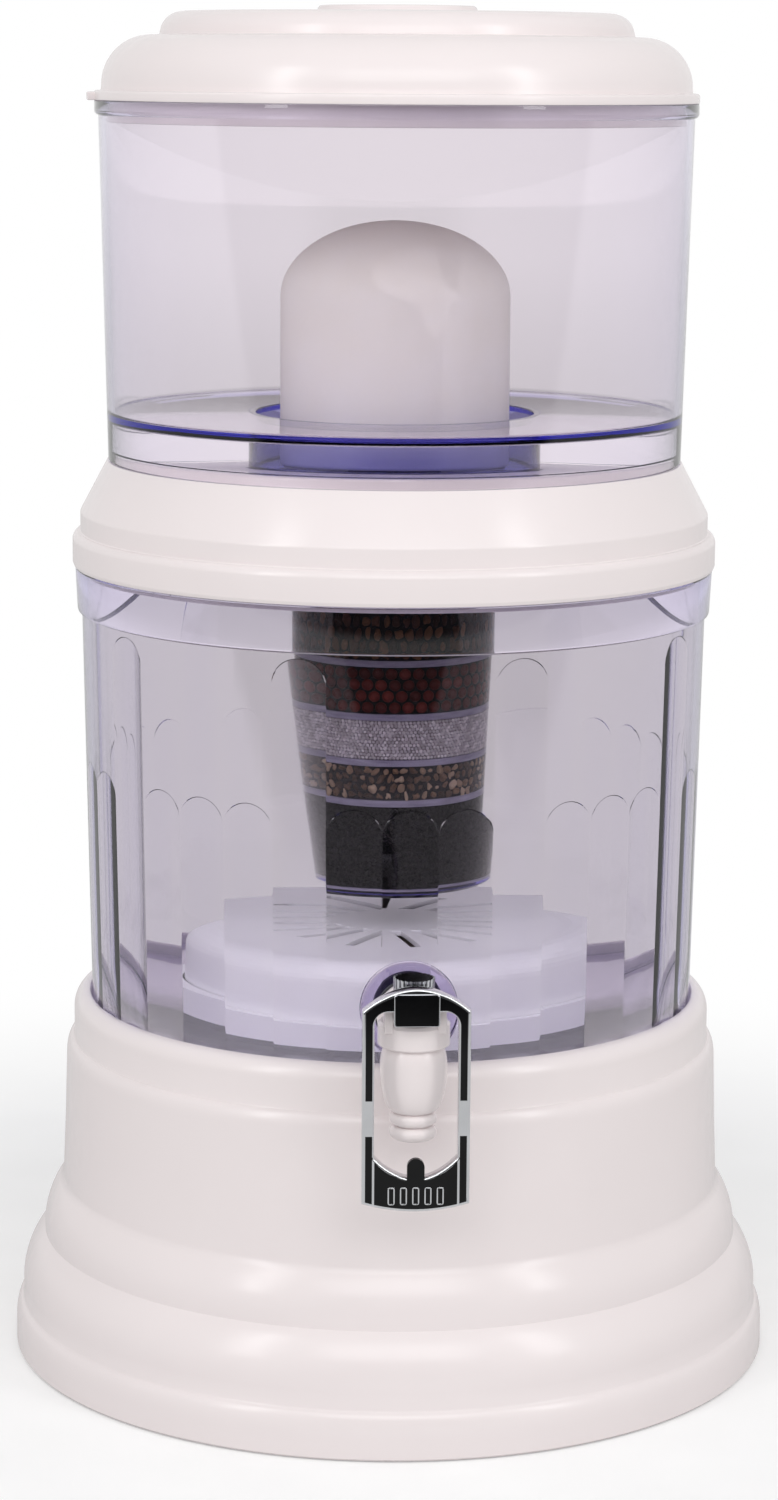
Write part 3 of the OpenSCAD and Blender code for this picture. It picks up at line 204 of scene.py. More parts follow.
def slab(outline, y0, y1, bevel=0.3, hole=None):
    """A plate across Y: outline (x, z) from y0 to y1, round a hole of as many points if given.

    Its edges are rounded by b, the bevel: inset b (1 - sin a) at depth b (1 - cos a), a from 0 to 90
    degrees.
    """

    def ringed(points, sign):
        p = np.array(points)
        side = np.roll(p, -1, 0) - np.roll(p, 1, 0)
        normal = np.stack([side[:, 1], -side[:, 0]], 1) / np.linalg.norm(side, axis=1)[:, None]
        twice_area = np.sum(p[:, 0] * np.roll(p[:, 1], -1) - np.roll(p[:, 0], -1) * p[:, 1])
        normal *= sign if twice_area > 0 else -sign
        bends = [(KEEP_FLAT, 0.0)]
        bends += [(1 - math.sin(a), 1 - math.cos(a)) for a in np.linspace(0, math.pi / 2, ROUND)]
        levels = [(inset, y0 + bevel * rise) for inset, rise in bends]
        levels += [(inset, y1 - bevel * rise) for inset, rise in reversed(bends)]
        return [np.insert(p - normal * bevel * inset, 1, y, 1) for inset, y in levels]

    rows = ringed(outline, 1)
    if hole is not None:
        return loft(rows + ringed(hole, -1)[::-1])
    m = len(outline)
    verts, faces = loft(rows, rows[0].mean(0), rows[-1].mean(0))
    faces = [f for f in faces if len(f) == 4]
    edges = {(f[k], f[(k + 1) % 4]) for f in faces for k in range(4)}
    for cap in (tuple(range(m)), tuple(range((len(rows) - 1) * m, len(rows) * m))):
        faces.append(cap if (cap[1], cap[0]) in edges else cap[::-1])
    return outward(verts[:-2], faces)


def even(outline, count):
    """A closed outline of count points, all the same way apart along it."""
    p = np.array([*outline, outline[0]], float)
    along = np.concatenate([[0], np.cumsum(np.linalg.norm(np.diff(p, axis=0), axis=1))])
    at = np.linspace(0, along[-1], count, endpoint=False)
    return np.stack([np.interp(at, along, p[:, 0]), np.interp(at, along, p[:, 1])], 1)


def block(lo, hi, bevel=0.3):
    """A box between two corners, with rounded edges."""
    (x0, y0, z0), (x1, y1, z1) = lo, hi
    corners = [(x0, z0, bevel), (x1, z0, bevel), (x1, z1, bevel), (x0, z1, bevel)]
    return slab(soften(corners, 4), y0, y1, bevel)


def framed(x, z, half_x, half_z, radius, count):
    """An upright rounded rectangle about (x, z), as count points."""
    signs = ((-1, -1), (1, -1), (1, 1), (-1, 1))
    return even(soften([(x + i * half_x, z + j * half_z, radius) for i, j in signs]), count)


# ---------------------------------------------------------------- materials


def srgb(code):
    """A linear RGBA colour from an sRGB hex code."""
    c = [int(code[i : i + 2], 16) / 255 for i in (1, 3, 5)]
    return (*(v / 12.92 if v <= 0.04045 else ((v + 0.055) / 1.055) ** 2.4 for v in c), 1.0)


def add(tree, kind, sockets=None, stops=(), **settings):
    """Adds a shader node.

    A socket is given a plain value, or the output that feeds it. Stops are a colour ramp's places, in
    rising order, and hex colours.
    """
    node = tree.nodes.new("ShaderNode" + kind)
    for key, value in settings.items():
        setattr(node, key, value)
    for name, value in (sockets or {}).items():
        if isinstance(value, bpy.types.NodeSocket):
            tree.links.new(value, node.inputs[name])
        else:
            node.inputs[name].default_value = value
    for i, (place, code) in enumerate(stops):
        elements = node.color_ramp.elements
        element = elements[i] if i < len(elements) else elements.new(place)
        element.position, element.color = place, srgb(code)
    return node


def pattern(tree, size, detail=3.0, stretch=(1, 1, 1)):
    """A noise from 0 to 1 in Object coordinates. Its features are size mm, longer by stretch on each axis."""
    place = add(tree, "TexCoord").outputs["Object"]
    shrink = tuple(1 / s for s in stretch)
    place = add(tree, "VectorMath", {0: place, 1: shrink}, operation="MULTIPLY").outputs[0]
    return add(tree, "TexNoise", {"Vector": place, "Scale": 1 / (size * MM), "Detail": detail}).outputs["Fac"]


def surface(name, stops, patch, rough, grain, depth, stretch=(1, 1, 1), by=None, **sockets):
    """A procedural material.

    Its colour runs through stops by a noise of patch mm, or by the attribute named. A noise of grain mm
    takes the roughness from its first value to its second and lifts the surface by depth mm.
    """
    mat = bpy.data.materials.new(name)
    mat.use_nodes = True
    tree = mat.node_tree
    tree.nodes.clear()
    if by:
        base = add(tree, "Attribute", attribute_name=by).outputs["Fac"]
    else:
        base = pattern(tree, patch, 3, stretch)
    fine = pattern(tree, grain, 2, stretch)
    spans = {"Value": fine, "From Min": 0.3, "From Max": 0.7, "To Min": rough[0], "To Max": rough[1]}
    gloss = add(tree, "MapRange", spans).outputs[0]
    bump = add(tree, "Bump", {"Height": fine, "Distance": depth * MM, "Strength": 1.0}).outputs[0]
    colour = add(tree, "ValToRGB", {"Fac": base}, stops).outputs["Color"]
    values = {"Base Color": colour, "Roughness": gloss, "Normal": bump}
    values |= {key.replace("_", " "): value for key, value in sockets.items()}
    add(tree, "OutputMaterial", {"Surface": add(tree, "BsdfPrincipled", values).outputs[0]})
    return mat


def clear(name, stain, density, ior=1.5):
    """Clear plastic: a refracting surface with faint upright ripples 26 mm wide, and a stained body.

    The body takes light away over a way of d metres by exp(-density (1 - stain) d).
    """
    tint = "#FFFBF8"
    mat = surface(name, ((0.0, tint), (1.0, tint)), 60, (0.0, 0.03), 26, 0.02, (1, 1, 3))
    tree = mat.node_tree
    shader = tree.nodes["Principled BSDF"]
    tree.links.remove(shader.inputs["Base Color"].links[0])
    shader.inputs["Base Color"].default_value = srgb(tint)
    shader.inputs["Transmission Weight"].default_value = 1.0
    shader.inputs["IOR"].default_value = ior
    passing = add(tree, "BsdfTransparent", {"Color": srgb("#FFFFFF")})
    lamps = add(tree, "LightPath").outputs["Is Shadow Ray"]
    both = add(tree, "MixShader", {0: lamps, 1: shader.outputs[0], 2: passing.outputs[0]})
    tree.links.new(both.outputs[0], tree.nodes["Material Output"].inputs["Surface"])
    volume = add(tree, "VolumeAbsorption", {"Color": srgb(stain), "Density": density})
    tree.links.new(volume.outputs[0], tree.nodes["Material Output"].inputs["Volume"])
    return mat


MATERIALS = {
    # Warm white moulded plastic: barely mottled, soft gloss with a faint flow texture
    "white_abs": surface("white ABS", ((0.3, "#EFE6E6"), (0.7, "#F1E8E8")), 60, (0.20, 0.26), 7, 0.0012),
    # Tank plastic: pale lavender straight through, violet to navy along a floor or a rim
    "clear_tank": clear("clear SAN plastic", "#5A40E8", 32.0),
    # The same plastic round the tank's well, stained more strongly: the plastic's own violet, deepened as
    # painted shade of the dome's foot, which lies in shadow in the well
    "well_shade_clear": clear("clear SAN plastic, well", "#5D6EDC", 300.0),
    # The same plastic round the tap's boss. It bends light less, so that only a soft violet arc shows
    "soft_clear": clear("clear SAN plastic, boss", "#5A40E8", 60.0, 1.12),
    # Fired ceramic: cream, matt, fine pores
    "ceramic": surface("fired ceramic", ((0.3, "#FBF6EE"), (0.7, "#FEFAF4")), 18, (0.75, 0.9), 0.9, 0.03),
    # Satin white plastic of the small fittings
    "white_plastic": surface(
        "satin polypropylene", ((0.3, "#F9F8FA"), (0.7, "#FDFDFE")), 20, (0.35, 0.45), 1.5, 0.006
    ),
    # Grey rubber washers: dull, lightly grained
    "rubber": surface("grey rubber", ((0.3, "#3A3A3D"), (0.7, "#48484B")), 6, (0.65, 0.8), 0.6, 0.02),
    # Pressed filter felt between the layers: greyish, fibrous along its rim
    "screen_felt": surface(
        "filter felt", ((0.3, "#8F8A9C"), (0.7, "#B4AFC0")), 2.5, (0.85, 0.95), 0.5, 0.12, (4, 4, 0.6)
    ),
    # For the five media below, tone 0 is the dark core: its colour is painted shade in the gaps between
    # grains, while tones 0.2 to 1 are the grains' own colours
    # Dark brown mineral granules, each of its own tone
    "brown_granules": surface(
        "brown mineral granules", ((0.0, "#150B09"), (0.3, "#3A2118"), (0.7, "#5E3A29"), (1.0, "#86603F")),
        3, (0.6, 0.8), 0.8, 0.10, by="tone_and_shade", Specular_IOR_Level=0.2,
    ),
    # Dark red fired balls
    "red_balls": surface(
        "red ceramic balls", ((0.0, "#0E0605"), (0.2, "#4A1812"), (0.8, "#602019"), (1.0, "#742C22")),
        3, (0.5, 0.65), 0.5, 0.03, by="tone_and_shade", Specular_IOR_Level=0.2,
    ),
    # Pale speckled quartz sand
    "pale_sand": surface(
        "quartz sand", ((0.0, "#857D79"), (0.2, "#C2BAB7"), (0.6, "#E0DAD8"), (1.0, "#FAF6F4")),
        0.9, (0.5, 0.8), 0.5, 0.12, by="tone_and_shade",
    ),
    # Tan to brown rounded gravel
    "brown_gravel": surface(
        "river gravel", ((0.0, "#1E1713"), (0.3, "#4E3B2D"), (0.65, "#876B50"), (1.0, "#C9B193")),
        3, (0.45, 0.7), 0.9, 0.08, by="tone_and_shade", Specular_IOR_Level=0.3,
    ),
    # Black carbon: near black and dull
    "carbon": surface(
        "activated carbon", ((0.0, "#020202"), (0.7, "#070708"), (1.0, "#111113")),
        3, (0.45, 0.7), 0.7, 0.08, by="tone_and_shade", Specular_IOR_Level=0.08,
    ),
    # Smooth mineral stones: sandy tan, dull
    "stone": surface("mineral stones", ((0.3, "#8E8069"), (0.7, "#B3A58C")), 9, (0.55, 0.75), 0.8, 0.03),
    # Drawn stainless wire and pin: fine lines along it
    "steel": surface(
        "stainless steel", ((0.3, "#A9AAAD"), (0.7, "#C3C4C7")),
        4, (0.2, 0.32), 0.3, 0.004, (6, 1, 1), Metallic=1.0,
    ),
    # Bright chrome plate on plastic: mirror with the faintest waviness
    "chrome": surface(
        "chrome plate", ((0.3, "#D4D5D8"), (0.7, "#DEDFE2")), 14, (0.03, 0.07), 5, 0.003, Metallic=1.0
    ),
    # Polished black plastic of the lever: near black with a sharp, weak shine
    "black_gloss": surface(
        "polished black plastic", ((0.3, "#060607"), (0.7, "#0B0B0D")),
        10, (0.05, 0.10), 4, 0.003, Specular_IOR_Level=0.25,
    ),
}


# ---------------------------------------------------------------- pieces


def piece(name, skin, slot, body, nodes=(), smooth=35, tone_and_shade=None, look=None):
    """Makes a mesh object from a skin in mm, smooth but for edges sharper than smooth degrees.

    It stands in place of CAD nodes and rides on their body. It has its slot's material, or the one
    named as its look.
    """
    verts, faces = skin
    mesh = bpy.data.meshes.new(name)
    mesh.from_pydata((np.asarray(verts) * MM).tolist(), [], [list(map(int, f)) for f in faces])
    mesh.polygons.foreach_set("use_smooth", [True] * len(mesh.polygons))
    mesh.set_sharp_from_angle(angle=math.radians(smooth))
    # The per-point tone also carries painted shade: tone 0 marks a filling's dark core
    if tone_and_shade is not None:
        tones = mesh.attributes.new("tone_and_shade", "FLOAT", "POINT")
        tones.data.foreach_set("value", np.asarray(tone_and_shade, np.float32))
    mesh.materials.append(MATERIALS[look or slot])
    obj = bpy.data.objects.new(name, mesh)
    bpy.context.scene.collection.objects.link(obj)
    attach(obj, body)
    if nodes:
        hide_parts(*nodes)


def icosphere(level):
    """Unit ball of triangles: an icosahedron, whose faces are split in four, level times.

    Each edge's middle (a + b) / 2 is put on the ball: (a + b) / |a + b|.
    """
    g = (1 + 5**0.5) / 2
    v = [
        (-1, g, 0), (1, g, 0), (-1, -g, 0), (1, -g, 0), (0, -1, g), (0, 1, g),
        (0, -1, -g), (0, 1, -g), (g, 0, -1), (g, 0, 1), (-g, 0, -1), (-g, 0, 1),
    ]
    f = [
        (0, 11, 5), (0, 5, 1), (0, 1, 7), (0, 7, 10), (0, 10, 11),
        (1, 5, 9), (5, 11, 4), (11, 10, 2), (10, 7, 6), (7, 1, 8),
        (3, 9, 4), (3, 4, 2), (3, 2, 6), (3, 6, 8), (3, 8, 9),
        (4, 9, 5), (2, 4, 11), (6, 2, 10), (8, 6, 7), (9, 8, 1),
    ]
    v = np.array(v) / np.linalg.norm(v[0])
    f = np.array(f)
    for _ in range(level):
        edges = np.sort(f[:, [[0, 1], [1, 2], [2, 0]]].reshape(-1, 2), 1)
        _, first, which = np.unique(edges, axis=0, return_index=True, return_inverse=True)
        order = np.argsort(first)
        mids = len(v) + np.argsort(order)[which].reshape(-1, 3)
        middle = v[edges[first[order]]].sum(1)
        v = np.concatenate([v, middle / np.linalg.norm(middle, axis=1)[:, None]])
        corners = np.stack([f, mids, np.roll(mids, 1, 1)], 2)
        f = np.concatenate([corners, mids[:, None]], 1).reshape(-1, 3)
    return v, f


def lumps(places, size, squash, rough, level, rng):
    """Loose grains: balls of size mm at places, and each point's tone.

    Each ball is stretched at random by up to squash, turned, and dented along its radius:
    1 + rough * (the sum of four sine waves across it).
    """
    ball, tris = icosphere(level)
    verts, tones = [], []
    for place in places:
        scale = size / 2 * (1 + squash * rng.uniform(-1, 0.3, 3))
        q, _ = np.linalg.qr(rng.normal(size=(3, 3)))
        q *= np.sign(np.linalg.det(q))
        waves = rng.normal(size=(4, 3)) * 2.2
        dent = 1 + rough * np.sin(ball @ waves.T + rng.uniform(0, 6, 4)).sum(1)
        verts.append(ball * dent[:, None] * scale @ q.T + place)
        tones.append(np.full(len(ball), rng.uniform(0.2, 1.0)))
    faces = (tris[None] + np.arange(len(places))[:, None, None] * len(ball)).reshape(-1, 3)
    return (np.concatenate(verts), [tuple(f) for f in faces.tolist()]), np.concatenate(tones)


# The core under the grains is painted shade, in its media's darkest colour, for the shaded gaps between the
# grains
GRAINS_IN, SHADE_CORE_IN, CUP_WALL = 1.7, 3.2, 3.6  # depths of grains, core and the cup's inside below its outside
ROW_PITCH, GRAIN_PITCH = 0.84, 0.98  # distances between rows and between grains, in grains


def filling(node, slot, z0, z1, size, squash, rough, level, seed):
    """One layer of loose media, set in the cartridge's wall: rows of grains round a dark core that paints the
    shade between them.

    Each row starts half a grain on from the last.
    """
    rng = np.random.default_rng(seed)
    rows = max(1, round((z1 - z0 - size) / (size * ROW_PITCH))) + 1
    places = []
    for i, z in enumerate(np.linspace(z0 + size / 2, z1 - size / 2, rows)):
        r = cartridge_r(z) - GRAINS_IN - size / 2
        count = int(2 * math.pi * r / (size * GRAIN_PITCH))
        jitter = rng.uniform(-0.5, 0.5, (count, 3)) * size * 0.25 * min(1.0, squash * 4)
        a = (np.arange(count) + 0.5 * (i % 2)) * 2 * math.pi / count
        r = r - abs(jitter[:, 0])
        ring = np.stack([r * np.cos(a), r * np.sin(a), z + jitter[:, 2] * 0.6], 1)
        ring[:, 2] = np.clip(ring[:, 2], z0 + size / 2, z1 - size / 2)
        places += list(ring)
    grains, tones = lumps(places, size, squash, rough, level, rng)
    # The core, at tone 0 in its media's darkest colour, is painted shade: it stands for the dark gaps between
    # grains
    shade_core = turn([(0, z0), (cartridge_r(z0) - SHADE_CORE_IN, z0), (cartridge_r(z1) - SHADE_CORE_IN, z1), (0, z1)], 96)
    tones = np.concatenate([np.zeros(len(shade_core[0])), tones])
    piece(node + "_grains_and_shade_core", join(shade_core, grains), slot, "upper_tank_unit", (node,), 60, tones)


# The stand: a hollow stepped drum with eight ribs under its deck
outer = (
    [(147, 0), (149.2, 0), (150, 0.8), *arc(146.95, 9, 3.05, 9, 0, 84)]  # foot
    + [(146.95, 18.6), *lean(146.95, 25, 8.6, 21), *lean(138.35, 46.6, 7.5, 20.6)]  # two steps
    + [(130.7, 68.6), (129.7, 92), *arc(125.85, 118, 3.1, 7, 0, 84)]  # wall and shoulder
    + [(125.85, 125.8), *arc(120.25, 136, 5.6, 7, 0, 88), (119.7, 142.8)]  # neck and rim
    + [(119.25, 142.2), (119.25, DECK_Z), (0, DECK_Z)]  # seat and deck
)
inner = [(0, 132), (122.8, 132), (122.9, 122), (125.9, 116), (127.8, 66), (135.3, 46), (143.8, 26)]
inner += [(144, 16), (147, 9)]
ribs = [lay(block((20, -1.25, 122), (123.5, 1.25, 132.5), 0.2), turned=(0, 0, a)) for a in range(0, 360, 45)]
piece("stand_shell", join(turn(inner + outer), *ribs), "white_abs", "stand_unit", ("stand",))

# The collar between the tanks
outline = [
    # spigot and flange
    (117.9, 309.7, 0.4), (117.9, 312.3, 0), (124.4, 312.3, 0.6), (125, 313.8, 0.8),
    *sharp(arc(121.9, 322.3, 3.1, 3.2, 0, 84)),
    # side, cone and deck with its lip
    (121.9, 325.9, 0.3), (121.9, 333.2, 2.5), (111.4, COLLAR_Z, 0.5), (108, COLLAR_Z, 0.2), (108, 356.9, 1.2),
    (57.1, 356.9, 0.8), (57.1, 346.9, 0.4), (60.1, 346.9, 0.4), (60.1, 353.9, 0.5),
    # inside
    (105, 353.9, 0.5), (105, 349.9, 0.5), (109.9, 349.9, 1), (118.9, 331.7, 2), (118.9, 322.5, 1),
    (115.4, 315.2, 0.5), (115.4, 309.7, 0.4),
]
piece("collar_ring", turn(soften(outline)), "white_abs", "collar_unit", ("collar",))

# The lid: flange, two domed tiers, a low plateau and a finger tab
outline = [
    # spigot and flange
    (110.64, 481.7, 0.4), (110.64, UPPER_RIM_Z + AIR, 0), (115.5, UPPER_RIM_Z + AIR, 0.5),
    (115.5, 493.5, 1.6), (112.9, 493.5, 0.3),
    # tiers and plateau
    *sharp(arc(93.9, 495.5, 18.8, 18.8, 0, 87, 16)), (90.6, 514.4, 0.5),
    *sharp(arc(81.5, 514.9, 8.8, 8.2, 8, 88)), (31, 523.1, 1.2), (29.8, 525.7, 1.4), (0, 525.7, 0),
    # inside
    (0, 523.2, 0), (27.3, 523.2, 0.5), (27.3, 520.6, 0.5), *sharp(arc(81.5, 514.3, 6.3, 6.3, 90, 0, 6)),
    (87.6, 511.8, 0.5), *sharp(arc(93.9, 495.5, 16.3, 16.3, 90, 0, 8)),
    (108.14, 490.5, 0.5), (108.14, 481.7, 0.4),
]
tab = arc(0, 0, 118.3, 118.3, 173.7, 186.3, 9) + [(-113.2, -12.6), (-113.2, 12.6)]
tab = lay(slab(tab, -492.8, -UPPER_RIM_Z - AIR, 0.5), turned=(-90, 0, 0))
piece("lid_shell", join(turn(soften(outline)), tab), "white_abs", "lid_unit", ("lid",))

# The ceramic dome
outline = [(36.4, 357.4, 0), (44.4, 357.4, 1.2)]
outline += sharp(arc(0, 415.7, 44.4, 29.2, 0, 90, 28)) + sharp(arc(0, 415.7, 36.4, 21.2, 90, 0, 12))
piece("ceramic_shell", turn(soften(outline)), "ceramic", "upper_tank_unit", ("ceramic_dome",))

# The upper tank: wall, floor, skirt and rim band, and the round well in the floor
outline = [
    # underside of the floor, inside of the skirt and its bead
    (WELL_R + AIR, UPPER_UNDER_Z, 0.2), (upper_r(UPPER_UNDER_Z) - SKIRT, UPPER_UNDER_Z, 0.6),
    (upper_r(BEAD_Z) - SKIRT, BEAD_Z, 0.5), (BEAD_R, BEAD_Z, 0.5), (BEAD_R, COLLAR_Z + AIR, 0.4),
    # outside and rim band
    (upper_r(COLLAR_Z), COLLAR_Z + AIR, 0.8), (upper_r(UPPER_BAND_Z), UPPER_BAND_Z, 0.4),
    (114.6, UPPER_BAND_Z, 0.5), (RIM_R, UPPER_BAND_Z + 1, 0.6), (RIM_R, UPPER_RIM_Z, 0.4),
    # inside down to the floor
    (upper_r(UPPER_RIM_Z) - UPPER_WALL, UPPER_RIM_Z, 0.4),
    (upper_r(UPPER_FLOOR_Z) - UPPER_WALL, UPPER_FLOOR_Z, 1.2), (WELL_R + AIR, UPPER_FLOOR_Z, 0.2),
]
piece("upper_tank_wall", turn(soften(outline)), "clear_tank", "upper_tank_unit", ("upper_tank",))
outline = [
    (STEM_HOLE_R, WELL_Z, 0.3), (WELL_R - 0.8, WELL_Z, 0.8), (WELL_R, WELL_Z + 0.8, 0.5),
    (WELL_R, UPPER_FLOOR_Z, 0.2), (WELL_IN_R, UPPER_FLOOR_Z, 0.8),
    (WELL_IN_R, WELL_FLOOR_Z, 1.0), (STEM_HOLE_R, WELL_FLOOR_Z, 0.3),
]
well = turn(soften(outline))
# The well's heavier stain is painted shade over the dome's foot, which lies in shadow there
piece("upper_tank_well", well, "clear_tank", "upper_tank_unit", ("upper_tank",), look="well_shade_clear")


# The lower tank, with arched flutes that swell from the inside of its wall
FLUTES, PER_FLUTE = 36, 16
ARCH_R = 10.0
SHORT_ARCH_Z, TALL_ARCH_Z = 227.0, 282.0
STEP = 0.5  # height over which a flute ends at its arch
SWELL, TALL_SWELL = 0.42, 0.6  # how far a flute's middle stands in from the round wall
BEND_ABOVE, BEND_BELOW = 22.0, 40.0  # heights from an arch's foot over which the rows bend into its curve


def lower_tank_skin():
    """The tank's skin on one grid of columns, closer together at the flutes' sides.

    On the inner wall, the row that lies on a flute's arch follows z = c + a sqrt(1 - u^2), u from -1 to 1
    across it. Below the arch the wall comes in by s (1 - u^2), with s the swell, and at the arch it steps
    back within STEP.
    """
    u = -np.cos(np.linspace(0, math.pi, PER_FLUTE, endpoint=False))
    width = 2 * math.pi / FLUTES
    angle = np.concatenate([(k + u / 2) * width - math.pi / 2 for k in range(FLUTES)])
    across = np.tile(u, FLUTES)
    tall = np.repeat([k * 10 % 40 == 20 for k in range(FLUTES)], PER_FLUTE)
    arch = np.sqrt(np.maximum(0, 1 - across**2))
    crown = np.where(tall, TALL_ARCH_Z, SHORT_ARCH_Z)
    rows = []

    def row(r, z):
        rows.append(np.stack([r * np.cos(angle), r * np.sin(angle), np.broadcast_to(z, angle.shape)], 1))

    # Outside up to the rim band, then over the rim
    wall_in = lower_r(LOWER_RIM_Z) - LOWER_WALL
    outer = [(116.9, LOWER_UNDER_Z), (118.1, 135.6), (118.55, 136.8)]
    outer += [(lower_r(z), z) for z in (160, 190, 225, 260, LOWER_BAND_Z - 0.5)]
    outer += [(lower_r(LOWER_BAND_Z) + 0.4, LOWER_BAND_Z), (122.4, LOWER_BAND_Z)]
    outer += [(123.05, LOWER_BAND_Z + 0.25), (123.25, LOWER_BAND_Z + 0.9)]
    outer += [(124.0, LOWER_RIM_Z - 0.5), (123.7, LOWER_RIM_Z - AIR)]
    outer += [(wall_in + 0.3, LOWER_RIM_Z - AIR), (wall_in, LOWER_RIM_Z - 0.5)]
    for r, z in outer:
        row(r, z)
    # Inside down to the floor, with more rows near the arches
    near = np.array([STEP, 1.5, 3, 5, 8, 12, 18, 26])
    levels = [298, TALL_ARCH_Z, 250, SHORT_ARCH_Z, 194, 188, 182, 172, 162, 152, 146, 143.5, 142, 141, 140.2]
    levels += [*(TALL_ARCH_Z + near), *(TALL_ARCH_Z - near)]
    levels += [*(SHORT_ARCH_Z + near[:6]), *(SHORT_ARCH_Z - near)]
    levels = sorted({round(z, 3) for z in levels if z < 300}, reverse=True)
    for z in levels:
        span = np.where(z > crown, BEND_ABOVE, BEND_BELOW)
        height = z + np.clip(1 - abs(z - crown) / span, 0, 1) * arch * ARCH_R
        fading = min(1.0, max(0.0, (z - 140.5) / 2.0))  # the flutes end above the floor
        depth = np.where(tall, TALL_SWELL, SWELL) * (1 - across**2) * fading
        bulge = depth * np.clip((crown + STEP - z) / STEP, 0, 1)
        row(lower_r(height) - LOWER_WALL - bulge, height)
    foot = lower_r(139) - LOWER_WALL
    for r, z in ((foot - 0.3, 139.2), (foot - 1.2, LOWER_FLOOR_Z), (100, LOWER_FLOOR_Z), (60, LOWER_FLOOR_Z)):
        row(r, z)
    return loft(rows, (0, 0, LOWER_UNDER_Z), (0, 0, LOWER_FLOOR_Z))


BOSS_R, BOSS_BORE_R = 18.0, 8.2


def boss_skin(y_face, off, sign):
    """A ring on the tap's axis from y_face back to the tank's curved wall, at y = -sqrt((R + off)^2 - x^2).

    R is the tank's outer radius at that height. Sign is 1 for the ring before the wall, whose face looks
    to the front, and -1 for the one behind it.
    """
    t = np.linspace(0, 2 * math.pi, 96, endpoint=False)
    edge = [(BOSS_R - 1.6, y_face), (BOSS_R - 0.5, y_face + 0.5 * sign), (BOSS_R, y_face + 1.6 * sign)]
    rows = []
    for r, y in [(BOSS_BORE_R, None), (BOSS_BORE_R, y_face), *edge, (BOSS_R, None)]:
        x, z = r * np.cos(t), TAP_Z + r * np.sin(t)
        wall = -np.sqrt((lower_r(z) + off) ** 2 - x**2)
        rows.append(np.stack([x, wall if y is None else np.full_like(x, y), z], 1))
    return loft(rows)


piece("lower_tank_wall", lower_tank_skin(), "clear_tank", "lower_tank_unit", ("lower_tank",), 25)
boss = join(boss_skin(-124.0, AIR, 1), boss_skin(-113.62, -LOWER_WALL - SWELL, -1))
piece("tap_boss", boss, "clear_tank", "lower_tank_unit", ("lower_tank",), look="soft_clear")

# The cartridge's clear cup
outline = [
    (0, CUP_FOOT_Z, 0), (33.1, CUP_FOOT_Z, 0.5), (cartridge_r(187), 187, 0.8), (40.9, CUP_RIM_Z, 0.3),
    (38.9, CUP_RIM_Z, 0.3), (38.6, 308, 0.5), (cartridge_r(305) - CUP_WALL, 305, 0.5),
    (cartridge_r(188) - CUP_WALL, 188, 0.4), (0, 188, 0),
]
piece("cartridge_cup", turn(soften(outline), 144), "clear_tank", "upper_tank_unit", ("cartridge_body",))

# The loose media, from the top down
filling("media_granules", "brown_granules", 279.4, 302.7, 3.8, 0.35, 0.09, 2, 11)
filling("media_red_balls", "red_balls", 258.5, 276.7, 5.0, 0.05, 0.0, 2, 12)
filling("media_sand", "pale_sand", 240.5, 255.8, 1.5, 0.25, 0.05, 1, 13)
filling("media_gravel", "brown_gravel", 224.5, 237.8, 3.5, 0.50, 0.15, 2, 14)
filling("media_carbon", "carbon", 189.1, 221.8, 3.0, 0.30, 0.08, 1, 15)

# The tap's nozzle with its shank, its wall flange and its two ears
outline = [(5.5, 130.4), (5.5, 122.5), (5.8, 122.05)]  # mouth
outline += arc(6.1, 124.62, 2.6, 2.57, -88, 88) + arc(6.1, 129.8, 2.6, 2.55, -88, 80)  # two rings
outline += arc(7.3, 149.5, 4.9, 17.1, -82, 0, 16) + arc(6.2, 149.5, 6.0, 10.8, 6, 43, 6)  # body
outline += [(12.5, 157.0), (13.1, 157.6), (13.1, 164.9), (12.2, 166.0), (7.5, 166.1)]  # collar
outline += [(7.4, 166.5), (7.4, 169.1), (7.1, 169.4), (2.6, 169.4)]  # neck
outline += [(2.6, 150), (5.4, 150), (5.4, 139)]  # bore
nozzle = turn(outline, 128, (0, NOZZLE_Y))
shank = [(4.9, 0, 0.2), (8, 0, 0.5), (8, 42.6, 0), (4.9, 42.6, 0)]
shank = lay(turn(soften(shank), 64), (0, -101.62, TAP_Z), (90, 0, 0))
flange = [(6, 0, 0.2), (12.5, 0, 0.8), (12.5, 3, 0.8), (6, 3, 0.2)]
flange = lay(turn(soften(flange), 96), (0, -126.02, TAP_Z), (90, 0, 0))
EAR_R, EAR_FOOT_Z, EAR_THICK = 3.2, 163.5, 3.2
ear = arc(PIN_Y, PIN_Z, EAR_R, EAR_R, 180, 0, 17)
ear = [(PIN_Y - EAR_R, EAR_FOOT_Z), *ear, (PIN_Y + EAR_R, EAR_FOOT_Z)]
ears = [lay(slab(ear, -EAR_THICK - x, -x, 0.4), turned=(0, 0, 90)) for x in (-11.15, 7.95)]
piece("nozzle", join(nozzle, shank, flange, *ears), "white_abs", "lower_tank_unit", ("tap_body",))

